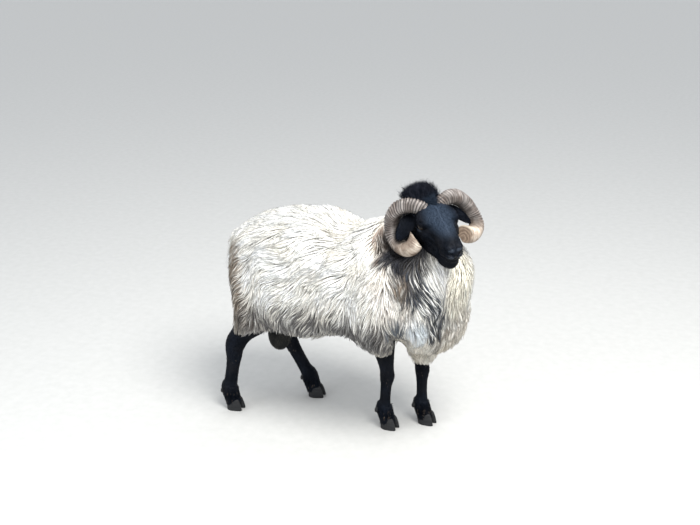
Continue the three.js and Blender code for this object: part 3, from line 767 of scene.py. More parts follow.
def fleece_flow(p, n):
    """The way the locks lie: back and down on the body, down on the neck, chest and breech, and
    forward from a parting under the right horn."""
    x, y, z = p.T
    down = 0.42 + 0.42 * smooth((610 - z) / 260) + 0.5 * smooth((x - 100) / 150)
    down = np.clip(down + 0.3 * smooth((-240 - x) / 60), 0, 1)
    away = (y - sideways(x)) / 120
    f = np.stack([-(1.02 - down), np.clip(away, -1, 1) * 0.35 * n[:, 2].clip(0, 1), -down], axis=1)
    fan = near(p, (408, -200, 585), (76, 70, 140))
    f += fan[:, None] * [0.75, 0.28, 0]
    turn = (0.30 * ripples(p, 150, 3) + 0.2 * ripples(p, 60, 4)) * (1 - 0.6 * fan)
    b = np.cross(n, f)
    return f + b * turn[:, None]


def fleece_colors(p):
    """Colours of the fleece at its roots and tips over the points p."""
    x, y, z = p.T
    tip = np.tile(WHITE, (len(p), 1))
    low_down = 0.45 * smooth((560 - z) / 300)
    tip = mix(tip, CREAM, (0.05 + low_down + 0.13 * ripples(p, 90, 21)).clip(0, 0.75)[:, None])

    def stain_with(color, amount):
        nonlocal tip
        tip = mix(tip, color, np.clip(amount, 0, 1)[:, None])

    def mark(color, strength, centre, radii, texture=1.0, edge=0.5):
        stain_with(color, strength * near(p, centre, radii, edge) * texture)

    streak = 0.5 + 0.5 * ripples(p * [1, 1, 0.3], 26, 31)  # broad upright streaks, and fine ones
    fine = (0.5 + 0.5 * ripples(p * [1, 1, 0.16], 11, 32)).clip(0, 1)
    for side, stain in ((-1, 1.0), (1, 0.6)):  # rump, breech and low flank, the left ones paler
        mark(RUST, stain * 0.75, (-250, side * 150, 440), (75, 110, 170), 0.35 + streak)
        mark(GREY, 0.95, (-175, side * 175, 350), (150, 90, 110), 0.35 + fine)
        mark(DARK, 1.1, (-120, side * 150, 325), (60, 90, 70), fine * 1.6 - 0.5)
        mark(MUD, stain * 1.1, (-205, side * 175, 400), (95, 80, 90), fine * 1.5 - 0.15)
        mark(RUST, stain * 0.95, (-262, side * 140, 520), (78, 110, 165), 0.4 + streak)
        mark(MUD * 1.5, stain, (-272, side * 145, 480), (56, 90, 130), fine * 1.7 - 0.4)
        # Painted shade: grey over the low flank and behind the elbows on both sides, for the shade under the
        # barrel, mixed with grey streaks.
        mark(GREY, 0.9, (90, side * 190, 360), (230, 80, 85), 0.3 + streak)
        mark(GREY * 0.85, 1.1, (265, side * 170, 375), (95, 100, 115), 0.4 + fine)
    # The right side's low flank and elbow: painted shadow over the belly, behind the elbow and under the
    # flank's fringe, a white belly band below the fringe, and mud and dark streaks by the foreleg.
    mark(DARK, 0.8, (140, -120, 325), (120, 110, 50))
    mark(DARK, 1.15, (163, -196, 384), (75, 60, 42), 0.35 + fine)
    mark(DARK, 0.7, (50, -206, 414), (130, 60, 22), 0.2 + fine)
    mark(WHITE, 0.8, (40, -178, 366), (90, 70, 28), 0.3 + fine)
    mark(MUD, 1.0, (225, -215, 400), (70, 70, 80), fine * 1.7 - 0.3)
    mark(DARK, 1.1, (243, -216, 386), (44, 54, 46), fine * 1.8 - 0.6)
    # The withers behind the horn, and the shoulder below them.
    mark(PINK, 0.8, (246, -125, 715), (52, 85, 105), 0.5 + 0.6 * streak)
    mark(MUD, 1.3, (266, -150, 690), (56, 90, 92), 0.5 + 0.6 * streak)
    mark(DARK, 1.2, (290, -168, 676), (46, 66, 66), 0.5 + 0.6 * fine)
    mark(PINK, 0.28, (300, -190, 560), (110, 70, 150), streak)
    # Under the right horn, and down the throat to the brisket.
    mark(DARK, 1.8, (352, -205, 652), (82, 80, 60), edge=0.6)
    mark(DARK, 1.7, (356, -222, 592), (70, 60, 78), 0.2 + fine * 1.3)
    mark(DARK, 1.7, (388, -215, 604), (72, 62, 92), fine * 1.8 - 0.3)
    mark(WHITE, 1.6, (415, -196, 530), (66, 60, 150), ripples(p * [1, 1, 0.16], 13, 33) - 0.2)
    mark(GREY * 0.6, 0.9, (435, -180, 520), (90, 90, 150), fine * 1.8 - 0.7)
    # Painted shade along the right low flank, broken into dark streaks.
    mark(GREY * 0.45, 1.1, (60, -190, 395), (330, 120, 105), fine * 1.9 - 0.75)
    # Painted shade: blue-white over the brisket's underside, for wool shaded and lit by the sky.
    mark(SKYLIT_SHADE_WHITE, 1.3, (388, -185, 402), (48, 55, 80), 0.4 + 0.6 * fine)
    mark(GREY, 0.8, (395, -190, 430), (80, 70, 90), fine * 1.4 - 0.2)
    mark(SLATE, 1.1, (420, -206, 545), (75, 60, 80), fine * 1.7 - 0.55)
    # The chest, the collar and the brisket's edge.
    mark(BUTTER, 0.8, (500, -120, 560), (70, 90, 160))
    mark(WHITE, 1.1, (446, -188, 615), (42, 44, 56), 0.5 + fine)
    mark(RUST, 0.6, (335, -222, 585), (36, 44, 56), 0.4 + fine)
    mark(INK, 1.3, (378, -222, 572), (36, 44, 84), fine * 1.9 - 0.35)
    mark(INK, 1.2, (412, -208, 520), (46, 48, 84), fine * 2.0 - 0.65)
    mark(INK, 1.1, (446, -176, 472), (46, 54, 70), fine * 2.0 - 0.85)
    mark(SLATE * 0.55, 1.2, (316, -222, 438), (54, 54, 56), 0.25 + fine)
    # Painted shade in blue skylight over the brisket's lower edge.
    mark(SKYLIT_SHADE_WHITE, 1.2, (382, -194, 418), (40, 52, 66), 0.55 + 0.6 * fine)
    mark(INK, 1.4, (428, -160, 408), (28, 50, 72), fine * 1.9 - 0.2)
    mark(INK, 1.6, (350, -208, 640), (36, 50, 48), 0.4 + fine)
    # Painted shade: a dark line down the crease between the brisket and the right foreleg.
    shaded_crease = chain(10, ([502, -84, 478], 6), ([446, -134, 392], 7), ([417, -96, 325], 8))
    stain_with(MUD * 1.6, smooth((11 - shaded_crease(x, y, z)) / 12) * (0.35 + 0.6 * fine))
    mark(RUST, 0.4, (500, -90, 400), (80, 120, 120), streak)
    # Round the horns' feet, and the poll.
    mark(DARK, 1.6, (328, -165, 690), (88, 90, 82), edge=0.4)
    for horn_side in (-1, 1):
        mark(DARK, 1.6, out_of_head(np.array([8, horn_side * 60, -85])), (105, 105, 90), edge=0.4)
    mark(DARK, 1.5, (350, -92, 800), (95, 95, 100), edge=0.3)
    root = mix(tip * 0.98, CREAM * 0.95, 0.12)
    return root, tip


points, triangles, quads = body_mesh
triangles = halved(quads, triangles)
centroid = points[triangles].mean(axis=1)
face_normals = np.cross(points[triangles[:, 1]] - points[triangles[:, 0]],
                        points[triangles[:, 2]] - points[triangles[:, 0]])
if (face_normals * skin.normal(centroid)).sum() < 0:
    triangles = triangles[:, ::-1]
    quads = quads[:, ::-1]
body = (points, quads, triangles[:0])


def fleece_weight(p):
    return 1 - near(p, (352, -92, 840), (80, 80, 70), 0.3)


LOCKS, GUIDES = ((34000, 3800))
LOCK_LENGTH, WAVE, SWING = (2.2, 3.2), 78, 3.4  # in coat depths, and in mm: one wave, and how far it goes
HALF_WIDTHS = (1.5, 3.0)
BODY_UV = ((60, -30, 520), (420, 230, 260))  # the centre and radii that the body is unwrapped from
roots, normals = scatter(points, triangles, LOCKS + GUIDES, rng, fleece_weight)
normals = skin.normal(roots)
depth = coat_depth(roots)
share = rng.uniform(0.7, 1.08, len(roots))  # of the coat's depth that each lock's tip stands at
share[rng.uniform(size=len(roots)) < 0.2] *= 0.8
smooth_back = 0.6 * smooth((roots[:, 2] - 500) / 140) * smooth((300 - roots[:, 0]) / 80)
share = mix(share, 0.93, smooth_back)
raised = near(roots, (72, -10, 690), (75, 90, 60))  # the wisps that stand up on the back
share *= 1 + 0.55 * raised * (rng.uniform(size=len(roots)) < 0.3)
hem = smooth((330 - roots[:, 2]) / 40)  # the ragged lower edge of the wool
length = depth * rng.uniform(*LOCK_LENGTH, len(roots)) + 6 + 36 * hem * rng.uniform(0, 1, len(roots)) ** 2
paths = march(roots, normals, fleece_flow, skin, length, depth * share, steps=5, rise=0.6)
order = rng.permutation(len(roots))  # the first are guides, which draw the other locks' tips together
guide, lock = order[:GUIDES], order[GUIDES:]
across = unit(np.cross(normals, paths[:, -1] - paths[:, 0]))
waves = length / WAVE
phase = 2.4 * ripples(roots, 70, 8) + rng.normal(0, 0.6, len(roots))
reach = SWING * depth / COAT * rng.uniform(0.4, 1.4, len(roots)) * (1 - 0.35 * smooth_back)
paths = curl(paths, normals, across, reach, waves, phase)
paths[:, 1:-1] = 0.25 * paths[:, :-2] + 0.5 * paths[:, 1:-1] + 0.25 * paths[:, 2:]  # rounder bends
low_down = smooth((520 - roots[lock][:, 2]) / 150)
brisket = smooth((roots[lock][:, 0] - 320) / 60) * smooth((620 - roots[lock][:, 2]) / 80)
pull = rng.uniform(0.1, 0.42, len(lock)) + np.maximum(0.3 * low_down, 0.34 * brisket)
locks, nearest = gather(paths[lock], paths[guide], pull)
root_tint, tip_tint = fleece_colors(locks[:, 1])[0], fleece_colors(locks[:, 3])[1]
own_shade = (1 + 0.05 * rng.normal(size=len(guide)))[nearest] * (1 + 0.06 * rng.normal(size=len(lock)))
root_tint, tip_tint = (np.clip(t * own_shade[:, None], 0.01, 0.95) for t in (root_tint, tip_tint))
half_width = rng.uniform(*HALF_WIDTHS, len(lock)) * np.sqrt(depth[lock] / COAT)
uv = unwrapped(roots[lock], *BODY_UV)

fleece_look = wool_material()
PIECES = 6
rank = np.argsort(roots[lock][:, 0])  # the pieces follow one another from the rump to the chest
for i, chosen in enumerate(np.array_split(rank, PIECES)):
    made = tufts(f"fleece_{i + 1}", locks[chosen], normals[lock][chosen], half_width[chosen], flat=0.5,
                 tints=(root_tint[chosen], tip_tint[chosen]), uv=uv[chosen], material=fleece_look)


# ------------------------------------------------------------------ short hair
# The blue in the black and the sheen is painted reflection of the sky on black hair; the next line holds a
# painted sheen for the bridge and painted highlights for the muzzle and lids.
BLACK, SHEEN, BROWN = np.array([(0.0020, 0.0036, 0.0075), (0.006, 0.009, 0.016), (0.012, 0.010, 0.009)])
BRIDGE_SHEEN, RIM_HIGHLIGHT = np.array([(0.034, 0.050, 0.078), (0.06, 0.075, 0.10)])
HAIR_FLAT = 0.4  # a hair tuft's thickness over its width


def all_over(length, wide, lift):
    """A size for short_hair that is the same at every point."""
    return lambda p: [np.full(len(p), float(v)) for v in (length, wide, lift)]


def one_way(direction):
    return lambda p, n: np.tile(direction, (len(p), 1))


def everywhere(p):
    return np.ones(len(p))


def lay(roots, normals, flow, length, lift, steps):
    """Short hairs from their roots along flow, their tips standing lift off the skin."""
    f = unit(flow - (flow * normals).sum(1, keepdims=True) * normals)
    k = np.linspace(0, 1, steps + 1)[None, :, None]
    rise = lift[:, None, None] * k**0.7 - 0.9 * (1 - k) - 0.02 * length[:, None, None] * k**2
    return roots[:, None] + f[:, None] * length[:, None, None] * k + normals[:, None] * rise


def short_hair(name, mesh, count, seed, weight, flow, size, color, uv_from, curl_by=0.0):
    """Tufts over a mesh. size(p) gives each length, half width and lift, and color(p) its tint."""
    rng = np.random.default_rng(seed)
    points, quads, triangles = mesh
    faces = halved(quads, triangles)
    roots, normals = scatter(points, faces, count // (1), rng, weight)
    length, wide, lift = size(roots)
    length = length * rng.uniform(0.7, 1.25, len(roots))
    wide = wide * rng.uniform(0.75, 1.25, len(roots))
    lift = lift * rng.uniform(0.4, 1.3, len(roots))
    way = unit(flow(roots, normals)) + rng.normal(0, 0.13, (len(roots), 3))
    paths = lay(roots, normals, way, length, lift, 5 if curl_by else 2)
    if curl_by:
        across = unit(np.cross(normals, way))
        reach = curl_by * length * rng.uniform(0.4, 1.4, len(roots))
        paths = curl(paths, normals, across, reach, rng.uniform(0.5, 1.1, len(roots)),
                     rng.uniform(0, 2 * PI, len(roots)))
    tint = color(roots) * rng.uniform(0.8, 1.2, (len(roots), 1))
    made = tufts(name, paths, normals, wide, HAIR_FLAT, (tint * 0.85, tint),
                 unwrapped(roots, *uv_from), hair_look)
    return made


hair_look = hair_material()
eyes = [out_of_head(EYE * [1, s, 1]) for s in (1, -1)]


def face_weight(p):
    h = into_head(p)
    open_skin = np.max([near(h, (228, 0, -58), (18, 28, 16)), near(h, (226, 0, -74), (16, 26, 6))], axis=0)
    lids = np.max([near(p, e, (17, 17, 17), 0.2) for e in eyes], axis=0)
    return (1 - open_skin) * (1 - lids) * (h[:, 0] < 240)


def face_flow(p, n):
    """From the brow the hair runs down the nose, back over the cheeks and up over the poll."""
    x, y, z = into_head(p).T
    bridge = smooth((z + 62) / 26)
    up_poll = smooth((78 - x) / 30) * bridge
    f = np.stack([mix(-0.8, 1.0, bridge) * (1 - 2 * up_poll), 0.25 * np.sign(y) * bridge,
                  -(1 - bridge) * 0.75 - 0.1], axis=1)
    return f @ HEAD[:3, :3].T


def face_size(p):
    x = into_head(p)[:, 0]
    small = np.max([near(p, e, (40, 40, 40)) for e in eyes], axis=0)
    length = mix(11.0, 6.0, smooth((x - 120) / 90)) * mix(1, 0.6, small) + 6 * smooth((60 - x) / 40)
    return length, 0.055 * length + 0.25, mix(1.15, 2.8, smooth((60 - x) / 40))


def hair_color(p):
    shade = (0.5 + 0.35 * ripples(p, 40, 51) + 0.2 * ripples(p, 12, 52)).clip(0, 1)[:, None]
    brown = (0.5 + 0.5 * ripples(p, 90, 53)).clip(0, 1)[:, None]
    # Painted sheen: the forehead and the bridge of the nose are lightened and tinted blue for the sky's
    # reflection on the hair.
    top = near(into_head(p), (120, 0, 0), (110, 62, 56), 0.6)[:, None]
    coat = mix(mix(BLACK, mix(SHEEN, BROWN, brown * 0.4), shade), BRIDGE_SHEEN, top * 0.9)
    h = into_head(p)
    h = np.stack([h[:, 0], np.abs(h[:, 1]), h[:, 2]], axis=1)
    # Painted highlights on the nostrils' upper rims, the upper lip and the lower lids.
    lit = np.max([0.7 * near(h, (227, 13, -47), (14, 13, 6)), 0.8 * near(h, (224, 12, -70), (14, 14, 6)),
                  0.7 * near(h, (102, 60, -50), (14, 9, 4.5))], axis=0)
    coat = mix(coat, RIM_HIGHLIGHT, lit[:, None])
    # Painted shade darkens the inside of each nostril.
    return mix(coat, BLACK * 0.4, near(h, (229, 18, -54.5), (10, 9, 5.5), 0.6)[:, None])


head_mesh = outward((out_of_head(head_points), head_quads, head_triangles))
ear_meshes = [outward(m) for m in both(ear_mesh)]
shin_meshes = {name: outward(shin_mesh(stations)) for name, (_, stations) in SHINS.items()}
bag = outward(scrotum_mesh())

FACE_UV = ((440, -170, 760), (150, 150, 120))
short_hair("face_hair", head_mesh, 15000, 5, face_weight, face_flow, face_size, hair_color, FACE_UV)


def poll_weight(p):
    h = into_head(p)
    return near(h, (20, 3, -20), (56, 42, 62), 0.3) * (h[:, 2] > -50)


def poll_flow(p, n):
    x, y, _ = into_head(p).T
    f = np.stack([-0.55 + 0.45 * smooth((x - 30) / 30), 0.15 * y / 40, 0.9 + 0 * x], axis=1)
    return f @ HEAD[:3, :3].T


short_hair("poll_hair", head_mesh, 1900, 6, poll_weight, poll_flow,
           all_over(28, 0.75, 12), hair_color, ((380, -100, 830), (80, 80, 60)), curl_by=0.18)
POLL_TUFT, TUFT_GREY = np.array([356, -85, 790]), np.array([0.030, 0.033, 0.046])
short_hair("poll_tuft", body, 4600, 12,
           lambda p: near(p, (362, -84, 824), (78, 80, 60), 0.3),
           lambda p, n: unit(p - POLL_TUFT) + [-0.25, 0, 0.25],
           lambda p: (26 + 6 * ripples(p, 13, 73).clip(-1, 1.6), 0.7 * np.ones(len(p)),
                      11 + 4 * ripples(p, 26, 71).clip(-1, 1.5)),
           lambda p: mix(BLACK, TUFT_GREY, (0.35 + 0.5 * ripples(p, 9, 72)).clip(0, 1)[:, None]),
           (POLL_TUFT, (60, 60, 60)), curl_by=0.24)


def jaw_weight(p):
    h = into_head(p)
    return smooth((70 - h[:, 0]) / 40) * smooth((-55 - h[:, 2]) / 20)


short_hair("jaw_hair", head_mesh, 1200, 7, jaw_weight, face_flow,
           all_over(26, 1.4, 5), hair_color, ((420, -140, 720), (80, 80, 60)), curl_by=0.08)

for s, mesh in zip((1, -1), ear_meshes):
    tip = out_of_head(np.array([84.0, s * 140, -80])) - out_of_head(np.array([32.0, s * 44, -50]))
    short_hair(f"ear_hair_{1 if s > 0 else 2}", mesh, 1300, 8 + s, everywhere, one_way(unit(tip)),
               all_over(9, 0.8, 1.4), lambda p: 0.55 * hair_color(p), (mesh[0].mean(axis=0), (60, 60, 30)))


def shin_color(p):
    """Black, with a few muddy flecks over the knees and round the pasterns."""
    where = bell(p[:, 2], 185, 26) + bell(p[:, 2], 45, 22)
    fleck = smooth((ripples(p, 9, 77) - 1.35) / 0.3) * where
    return mix(hair_color(p), MUD * 1.4, fleck.clip(0, 1)[:, None])


def shin_size(p):
    z = p[:, 2]
    feather = bell(z, 62, 20)
    length = mix(6.5, 10, smooth((z - 90) / 130)) + 7 * feather
    return length, 0.12 * length + 0.3, 1.1 + 1.6 * feather


for name, mesh in shin_meshes.items():
    sleeve_end = SHINS[name][0]
    short_hair(f"{name}_hair", mesh, 3200, 20 + len(name), lambda p: (p[:, 2] < sleeve_end + 40) * 1.0,
               one_way([-0.12, 0, -1.0]), shin_size, shin_color, (mesh[0].mean(axis=0), (60, 60, 200)))

BAG_TAN, BAG_GREY = np.array([0.062, 0.058, 0.050]), np.array([0.024, 0.025, 0.025])
short_hair("scrotum_hair", bag, 2000, 41, everywhere, one_way([-0.1, 0, -1.0]), all_over(9, 1.2, 1.6),
           lambda p: mix(BAG_GREY, BAG_TAN, (0.5 + 0.5 * ripples(p, 30, 61)).clip(0, 1)[:, None]),
           (BAG, (45, 45, 60)))


# ------------------------------------------------------------------ one skin
shells = [(body, fleece_colors(points)[0] * 0.95)]
shells += [(m, hair_color(m[0]) * 0.8) for m in (head_mesh, *ear_meshes, *shin_meshes.values())]
shells.append((bag, np.tile(BAG_GREY * 0.8, (len(bag[0]), 1))))
offsets = np.cumsum([0] + [len(m[0]) for m, _ in shells])
body_skin = new_object(
    "skin", np.concatenate([m[0] for m, _ in shells]),
    [np.concatenate([m[1] + o for (m, _), o in zip(shells, offsets)]),
     np.concatenate([m[2].reshape(-1, 3) + o for (m, _), o in zip(shells, offsets)])], skin_material())
tint = np.concatenate([t for _, t in shells])
give(body_skin, "tint", np.concatenate([tint, np.ones((len(tint), 1))], axis=1))
in_face = into_head(np.concatenate([m[0] for m, _ in shells]))
moist = np.maximum(near(in_face, (230, 0, -64), (24, 34, 20)),  # nose
                   near(in_face, (224, 0, -78), (22, 30, 7)))  # lips
for s in (1, -1):
    moist = np.maximum(moist, 0.8 * near(in_face, EYE * [1, s, 1], (22, 20, 12), 0.3))
give(body_skin, "wet", moist)
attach(body_skin, "root")
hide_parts("head", "neck", "trunk", "tail", "scrotum", "ear_right", "ear_left",
            *(f"{leg}_{part}" for leg in SHINS for part in ("upper", "shin")))


# ------------------------------------------------------------------ horns
# Each horn in the head's frame, in mm and degrees. The coil turns round its hub (x, z) on its side s,
# from one angle to another, while its radius and its distance out to the side go from the first value
# to the second, rise saying how soon it goes out and curl how far its end comes back in. yaw and roll
# turn the whole coil. deep and wide are its half sizes at the root and the end. sawn is the saw's
# plane: its normal, its distance from 0 (None puts it through the coil's end) and which side goes.
HORNS = {
    "right": {"s": -1, "from": 75, "to": 339, "hub": (11, -70), "radius": (56, 60), "out": (46, 134),
              "rise": 1.35, "curl": 20, "yaw": -26, "roll": 1, "deep": (21, 23), "wide": (20, 24),
              "sawn": ((0.045, -0.89, -0.454), 104.1, -1)},
    "left": {"s": 1, "from": 88, "to": 328, "hub": (23, -78), "radius": (58, 55), "out": (46, 154),
             "rise": 1.8, "curl": 42, "yaw": -28, "roll": 10, "deep": (22, 26), "wide": (19, 23),
             "sawn": ((0.38, -0.72, 0.58), None, 1)},
}
RIDGE = 7.4  # from one ridge to the next
HORN_RUN = (-0.05, 1.16)  # from inside the skull to past the saw, in shares of the coil
SAWN_PAST, HEART_AT = 0.62, 1.02  # where the saw can begin, and where the arcs it bares have their middle


def out_of_coil(h, v):
    """A vector of the coil's own frame in the head's."""
    turn = np.array(Matrix.Rotation(np.radians(h["roll"]), 3, "X")
                    @ Matrix.Rotation(np.radians(h["yaw"]), 3, "Z"))
    return (v @ turn.T) * [1, h["s"], 1]


def horn_middle(h, t):
    """The coil's middle line at each share t of it."""
    turn, r = np.radians(mix(h["from"], h["to"], t)), mix(*h["radius"], t)
    way = 1 - np.maximum(1 - t, 0) ** h["rise"]
    out = mix(*h["out"], way) - h["curl"] * (np.maximum(t - 0.6, 0) / 0.4) ** 2
    coil = np.stack([r * np.cos(turn), out, r * np.sin(turn)], axis=1)
    return out_of_coil(h, coil) + [h["hub"][0], 0, h["hub"][1]]


def horn_mesh(h, rings, sides):
    """The whole coil in the head's frame, past its sawn end, with its length and angle at each point."""
    t = np.linspace(*HORN_RUN, rings)
    middle = horn_middle(h, t)
    tangent = unit(horn_middle(h, t + 0.005) - horn_middle(h, t - 0.005))
    axis = out_of_coil(h, np.array([0.0, 1, 0]))
    away = middle - [h["hub"][0], 0, h["hub"][1]]
    away = away - axis * (away @ axis)[:, None]
    away = unit(away - tangent * (away * tangent).sum(1, keepdims=True))
    side = np.cross(tangent, away)
    run = np.append(0, np.cumsum(np.linalg.norm(np.diff(middle, axis=0), axis=1)))
    a = circle(sides)
    s = run[:, None] + 3.0 * np.cos(a + 0.4) + 0.8 * np.sin(3 * a + run[:, None] / 21)
    deep, wide = (mix(*h[k], t)[:, None] for k in ("deep", "wide"))
    phase = 2 * PI * (s / RIDGE + 0.30 * np.sin(s / 23) + 0.2 * np.sin(s / 11.7 + 1))
    crest = (0.5 + 0.5 * np.cos(phase)) ** 0.8
    fade = mix(0.5, 1, smooth((np.cos(a) + 1.2) / 1.2)) * mix(1, 0.3, smooth((t[:, None] - 0.55) / 0.35))
    swell = 0.9 * np.sin(s / 6.3) + 0.6 * np.sin(s / 2.1 + 1)
    bulge = (2.6 * (crest - 0.6) + 0.4 * swell) * fade
    square = 1 + 0.065 * np.cos(3 * a + 0.6) + 0.03 * np.cos(2 * a - 0.9)
    points = (middle[:, None] + away[:, None] * ((deep * square + bulge) * np.cos(a))[..., None]
              + side[:, None] * ((wide * square + bulge) * np.sin(a))[..., None])
    marks = np.stack(np.broadcast_arrays(s / 100, a / (2 * PI), mix(0.75, crest, fade)), axis=2)
    return points.reshape(-1, 3), tube_faces(rings, sides), marks.reshape(-1, 3), np.repeat(t, sides)


def horn_material():
    n = Nodes("horn")
    grain, place = n.attribute("grain", "Vector"), n.make("NewGeometry").outputs["Position"]
    parts = n.make("SeparateXYZ", {0: grain})
    fibres = n.noise(n.stretched(grain, (22.0, 34.0, 0.0)), 1.0, 4.0)
    blotches = n.noise(place, 38.0, 3.0)
    rings = n.noise(n.stretched(grain, (46.0, 1.5, 0.0)), 1.0, 3.0)
    old = n.ramp(rings, (0.32, (0.09, 0.081, 0.077)), (0.5, (0.195, 0.176, 0.166)),
                 (0.68, (0.41, 0.375, 0.355)))
    young = n.ramp(rings, (0.32, (0.33, 0.25, 0.19)), (0.5, (0.53, 0.445, 0.36)), (0.68, (0.75, 0.68, 0.60)))
    along = n.math("MULTIPLY", parts.outputs[0], 0.25)
    coat = n.blend(old, young, n.ramp(along, (0.47, 0.0), (0.64, 1.0)))
    stains = n.ramp(blotches, (0.37, (0.46, 0.42, 0.40)), (0.6, (1.0, 1.0, 1.0)))
    coat = n.blend(coat, stains, 0.8, "MULTIPLY")
    groove = n.ramp(parts.outputs[2], (0.03, 0.09), (0.5, 1.0))
    coat = n.blend(coat, groove, 0.85, "MULTIPLY")
    grime = n.ramp(n.noise(place, 24.0, 5.0), (0.40, (0.36, 0.29, 0.25)), (0.56, (1.0, 1.0, 1.0)))
    coat = n.blend(coat, grime, 0.75, "MULTIPLY")
    # Painted shade: the inner side of each coil, which faces the head, is darkened.
    inner = n.ramp(parts.outputs[1], (0.34, 1.0), (0.46, 0.42), (0.56, 0.42), (0.68, 1.0))
    coat = n.blend(coat, inner, 0.8, "MULTIPLY")
    sawn = n.attribute("sawn", "Fac")
    arcs = n.make("VectorMath", {0: n.attribute("face", "Vector")}, operation="LENGTH").outputs["Value"]
    wavy = n.math("ADD", arcs, n.math("MULTIPLY", n.noise(place, 45.0, 3.0), 0.18))
    bands = n.math("SINE", n.math("MULTIPLY", wavy, 70.0))
    cut = n.ramp(n.math("MULTIPLY_ADD", bands, 0.5, 0.5),
                 (0.1, (0.165, 0.12, 0.09)), (0.8, (0.245, 0.185, 0.14)))
    cut = n.blend(cut, (0.62, 0.55, 0.45, 1), n.ramp(arcs, (0.34, 0.0), (0.40, 0.9)))
    color = n.blend(coat, cut, sawn)
    height = n.math("MULTIPLY_ADD", fibres, 0.7, n.math("MULTIPLY", bands, n.math("MULTIPLY", sawn, 0.3)))
    return n.finish(Base_Color=color, Roughness=n.math("MULTIPLY_ADD", blotches, 0.2, 0.42),
                    Specular_IOR_Level=0.4, Normal=n.bump(height, 0.45, 0.0016, n.bump(rings, 0.6, 0.0018)))


def saw_end(made, h, t):
    """Saws the horn's end off flat beyond its plane, and marks the new face."""
    normal, at, side = h["sawn"]
    normal = np.array(normal)
    if at is None:
        at = horn_middle(h, np.array([1.0]))[0] @ normal
    n = (HEAD[:3, :3] @ normal) * side
    spot = (out_of_head(normal * at / (normal @ normal)) + SHIFT) / 1000
    work = bmesh.new()
    work.from_mesh(made.data)
    layer = work.faces.layers.float.new("sawn")
    far = {i for i in range(len(t)) if t[i] > SAWN_PAST}
    faces = [f for f in work.faces if all(v.index in far for v in f.verts)]
    geom = list(dict.fromkeys(g for f in faces for g in (f, *f.edges, *f.verts)))
    bmesh.ops.bisect_plane(work, geom=geom, plane_co=spot, plane_no=n, clear_outer=True)
    rim = [e for e in work.edges if e.is_boundary]
    new = bmesh.ops.contextual_create(work, geom=rim)["faces"]
    for f in new:
        f[layer] = 1.0
        f.smooth = False
    work.normal_update()
    work.to_mesh(made.data)
    work.free()


horn_look = horn_material()
RINGS, SIDES = ((420, 44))
for name, h in HORNS.items():
    horn_points, faces, marks, t = horn_mesh(h, RINGS, SIDES)
    made = solid(f"horn_{name}_fine", (out_of_head(horn_points), *faces), horn_look)
    give(made, "grain", marks)
    heart = horn_middle(h, np.array([HEART_AT]))[0] - [0, 0, 21]
    give(made, "face", (horn_points - heart) / 100)
    saw_end(made, h, t)
    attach(made, "root")
    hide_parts(f"horn_{name}")


# ------------------------------------------------------------------ eyes
def eye_material():
    n = Nodes("eye")
    a, b, _ = n.make("SeparateXYZ", {0: n.attribute("gaze", "Vector")}).outputs
    spread = n.noise(n.attribute("gaze", "Vector"), 9.0, 4.0)
    squares = [n.math("POWER", n.math("ABSOLUTE", v), 2.0) for v in (a, b)]
    r = n.math("SQRT", n.math("ADD", *squares))
    iris = n.ramp(spread, (0.35, (0.012, 0.008, 0.006)), (0.65, (0.034, 0.022, 0.013)))
    level_slot = [n.math("POWER", n.math("DIVIDE", n.math("ABSOLUTE", v), half), 4.0)
                  for v, half in ((a, 0.42), (b, 0.19))]
    pupil = n.ramp(n.math("ADD", *level_slot), (0.8, 1.0), (1.0, 0.0))
    color = n.blend(iris, (0.003, 0.003, 0.005, 1), pupil)
    rim = n.ramp(r, (0.62, 0.0), (0.74, 1.0))
    color = n.blend(color, (0.008, 0.006, 0.006, 1), rim)
    white = n.ramp(r, (0.80, 0.0), (0.88, 1.0))
    color = n.blend(color, (0.035, 0.030, 0.032, 1), white)
    return n.finish(Base_Color=color, Roughness=0.3, Specular_IOR_Level=0.1, Coat_Weight=0.55,
                    Coat_Roughness=0.02, Coat_IOR=1.38)


eye_look = eye_material()
for name, s in (("right", -1), ("left", 1)):
    rings, sides = 28, 48
    around = globe(rings, sides, 0.01)
    ball_points = EYE * [1, s, 1] + (around * (BALL - 0.4)) @ np.array(lid_frame(s))
    made = solid(f"eye_{name}_fine", (out_of_head(ball_points), *tube_faces(rings, sides)), eye_look)
    give(made, "gaze", around)
    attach(made, "root")
    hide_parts(f"eye_{name}")


# ------------------------------------------------------------------ claws and dewclaws
def claw_material():
    n = Nodes("claw")
    place = n.make("NewGeometry").outputs["Position"]
    grown = n.noise(n.stretched(place, (30.0, 30.0, 420.0)), 1.0, 3.0)
    worn = n.noise(place, 160.0, 4.0)
    color = n.ramp(grown, (0.35, (0.006, 0.0065, 0.0075)), (0.7, (0.018, 0.019, 0.021)))
    color = n.blend(color, (0.055, 0.05, 0.045, 1), n.ramp(worn, (0.60, 0.0), (0.80, 0.4)))
    return n.finish(Base_Color=color, Roughness=n.math("MULTIPLY_ADD", worn, 0.3, 0.45),
                    Specular_IOR_Level=0.3, Normal=n.bump(grown, 0.5, 0.0012, n.bump(worn, 0.3, 0.0008)))


CLAW = {"length": 56, "width": 25, "height": 40, "split": 4, "spread": 5}
TOE, HEEL = 0.62, 0.38  # the shares of a claw's length before and behind the hoof's place


